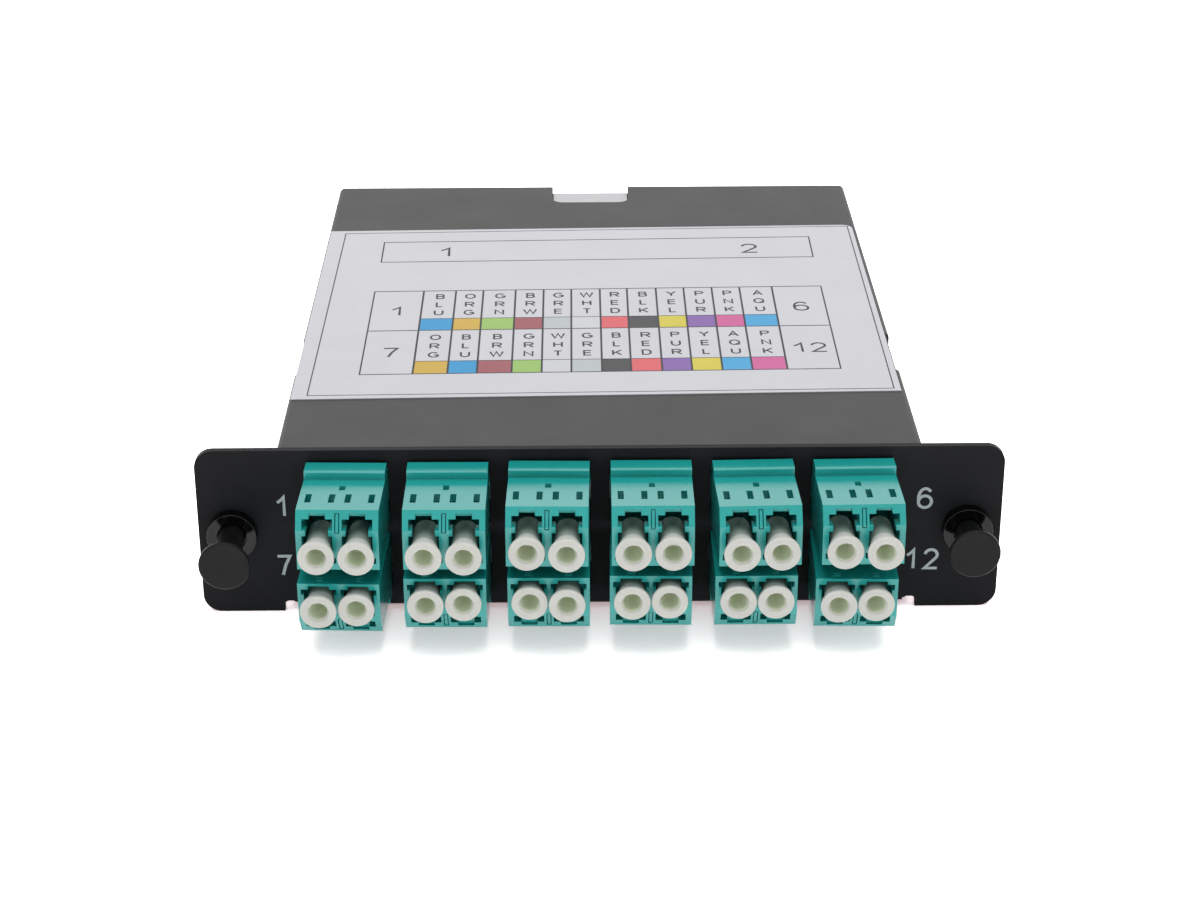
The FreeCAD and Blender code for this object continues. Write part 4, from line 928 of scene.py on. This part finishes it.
# %% Colour fields and their codes
# CODES gives the lower row first, and the fields' ink is thinner than the rules that frame them.
INKS = {"BLU": (65, 153, 204), "ORG": (204, 170, 80), "GRN": (153, 189, 107), "BRW": (157, 94, 99),
        "GRE": (187, 192, 193), "WHT": (206, 207, 211), "RED": (216, 105, 111), "BLK": (71, 71, 73),
        "YEL": (210, 196, 84), "PUR": (134, 103, 168), "PNK": (204, 103, 155), "AQU": (80, 164, 212)}
CODES = (["ORG", "BLU", "BRW", "GRN", "WHT", "GRE", "BLK", "RED", "PUR", "YEL", "AQU", "PNK"],
         ["BLU", "ORG", "GRN", "BRW", "GRE", "WHT", "RED", "BLK", "YEL", "PUR", "PNK", "AQU"])
LETTER_LEVELS = (16.3, 12.3, 8.35)
LETTER_HEIGHT = 2.4
LETTER_WIDTH = 0.35
LETTER_SHIFT = 0.22
FIELD_INK = INK * 0.6
chart_place = seat(0, PLATE_FACE, PAPER_TOP)

letters = []
fields = {code: [] for code in INKS}
for base, row in zip((0, MIDDLE_ROW), CODES):
    for cell, code in enumerate(row):
        middle = (shares[cell] + shares[cell + 1]) / 2
        centre = between(TABLE, middle, base)
        for letter, level in zip(code, LETTER_LEVELS):
            letters += written(letter, centre + (LETTER_SHIFT, level), LETTER_HEIGHT, LETTER_WIDTH, SLANT)
        half = base + STRIP / table_height / 2
        ends = np.array([between(TABLE, shares[cell], half), between(TABLE, shares[cell + 1], half)])
        fields[code].append((ends, STRIP, 0, FIELD_INK))
CHART_FIGURES = [("1", -36.31, 61.17, 4.3), ("7", -36.15, 41.81, 4.3), ("6", 37.47, 62.41, 4.3),
                 ("12", 37.41, 42.99, 4.3), ("1", -28.69, 91.62, 4.9), ("2", 30.02, 92.70, 4.9)]
CHART_FIGURE_WEIGHT = 0.1
CHART_FIGURE_GAP = 0.3
CHART_FIGURE_STRETCH = 1.13
figures = []
for text, x, y, height in CHART_FIGURES:
    figures += written(text, (x, y), height, CHART_FIGURE_WEIGHT * height, SLANT, CHART_FIGURE_GAP,
                       CHART_FIGURE_STRETCH)
print("letter bars:", len(letters), "figure bars:", len(figures))

# %% Print the chart
# INK_UNEVEN is how far a field's colour strays to either side, and INK_FINISH its grain and lift, its
# roughness range and its specular level.
INK_UNEVEN = 4
INK_FINISH = (0.25, 0.002, (0.55, 0.68), 0.25)
chart_print = add_piece("chart_print", bars_mesh("chart_print", rules + letters + figures, chart_place),
                        [chart_ink], "housing")
for code, bars in fields.items():
    colour = np.array(INKS[code])
    ink = make_finish("ink_" + code.lower(), colour - INK_UNEVEN, colour + INK_UNEVEN, *INK_FINISH)
    name = "chart_field_" + code.lower()
    add_piece(name, bars_mesh(name, bars, chart_place), [ink], "housing")
print("chart print faces:", len(chart_print.data.polygons))

# %% [markdown]
# ## Figures on the plate
# The first and last port of each row have their number on the plate, screen printed in light grey. The same
# strokes serve, stood upright: their own up becomes the plate's, and their thickness comes forward.

# %% Print the plate
PLATE_FIGURES = (("1", -51.5, 19.1), ("7", -51.5, 8.38), ("6", 52.45, 19.75), ("12", 52.55, 8.7))
FIGURE_HEIGHT = 3.9
FIGURE_STROKE = 0.5
FIGURE_GAP = 0.33
FIGURE_STRETCH = 1.12
upright = turn_about("x", math.pi / 2)
plate_place = seat(0, PLATE_FACE, 0, upright)
plate_bars = []
for text, x, z in PLATE_FIGURES:
    plate_bars += written(text, (x, z), FIGURE_HEIGHT, FIGURE_STROKE, 0, FIGURE_GAP, FIGURE_STRETCH)
plate_print = add_piece("plate_figures", bars_mesh("plate_figures", plate_bars, plate_place), [plate_ink],
                        "housing")
print("plate figures faces:", len(plate_print.data.polygons))

# %% [markdown]
# ## Cover screws
# The cover's skirts are held to the tray by small low-headed screws, two a side. A head is a shallow dome
# over a disc, given by two parameters, the radius and the turn, with a cross sunk into it.

# %% Dome the screw heads
SCREW_HEAD = 1.9
SCREW_RISE = 0.5
CROSS_HALF_WIDTH = 0.28
CROSS_REACH = 1.05
CROSS_DEPTH = 0.35
CROSS_SLOPE = 0.08
CROSS_END_SLOPE = 0.1
DOME_SPAN = 1.02
SCREW_SMOOTH_ANGLE = 40
SCREW_DEPTHS = (16.0, 112.0)
SCREW_HEIGHT = 22.9
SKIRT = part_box("cover")[1].x / MM


def screw_points(rings=22, segments=72):
    """Height over a disc: rise (span - (r / R)^2)^0.5, less a cross of two bars whose sides and ends slope
    down over a short way. A rim on the skirt and a point in its middle close the head below."""
    radius = np.linspace(0, SCREW_HEAD, rings)[:, None]
    turn = np.linspace(0, 2 * np.pi, segments, endpoint=False)[None, :]
    x, y = radius * np.cos(turn), radius * np.sin(turn)
    dome = SCREW_RISE * np.sqrt(np.clip(DOME_SPAN - (radius / SCREW_HEAD) ** 2, 0, 1)) + 0 * turn
    along = np.maximum(np.abs(x), np.abs(y))
    across = np.minimum(np.abs(x), np.abs(y))
    in_width = np.clip((CROSS_HALF_WIDTH - across) / CROSS_SLOPE, 0, 1)
    in_length = np.clip((CROSS_REACH - along) / CROSS_END_SLOPE, 0, 1)
    height = dome - CROSS_DEPTH * (in_width * in_length)
    base = np.zeros((1, segments))
    rim = np.stack([SCREW_HEAD * np.cos(turn), SCREW_HEAD * np.sin(turn), base], -1)
    middle = np.zeros((1, segments, 3))
    return np.concatenate([np.stack([x, y, height], -1), rim, middle]).reshape(-1, 3), rings + 2, segments


def add_screw(name, side, depth):
    """A head on a skirt: its own z points out of the cover."""
    points, rows, segments = screw_points()
    turn = turn_about("y", side * math.pi / 2)
    place = seat(side * SKIRT, PLATE_FACE + depth, SCREW_HEIGHT, turn)
    shape = solid_from_points(placed(points, place), grid_faces(rows, segments, True))
    mesh = finished_mesh(name, shape, SCREW_SMOOTH_ANGLE)
    return add_piece(name, mesh, [screw_steel], "housing")


for side in (-1, 1):
    for number, depth in enumerate(SCREW_DEPTHS, 1):
        screw = add_screw("cover_screw_%s_%d" % ("left" if side < 0 else "right", number), side, depth)
print("screw faces:", len(screw.data.polygons))
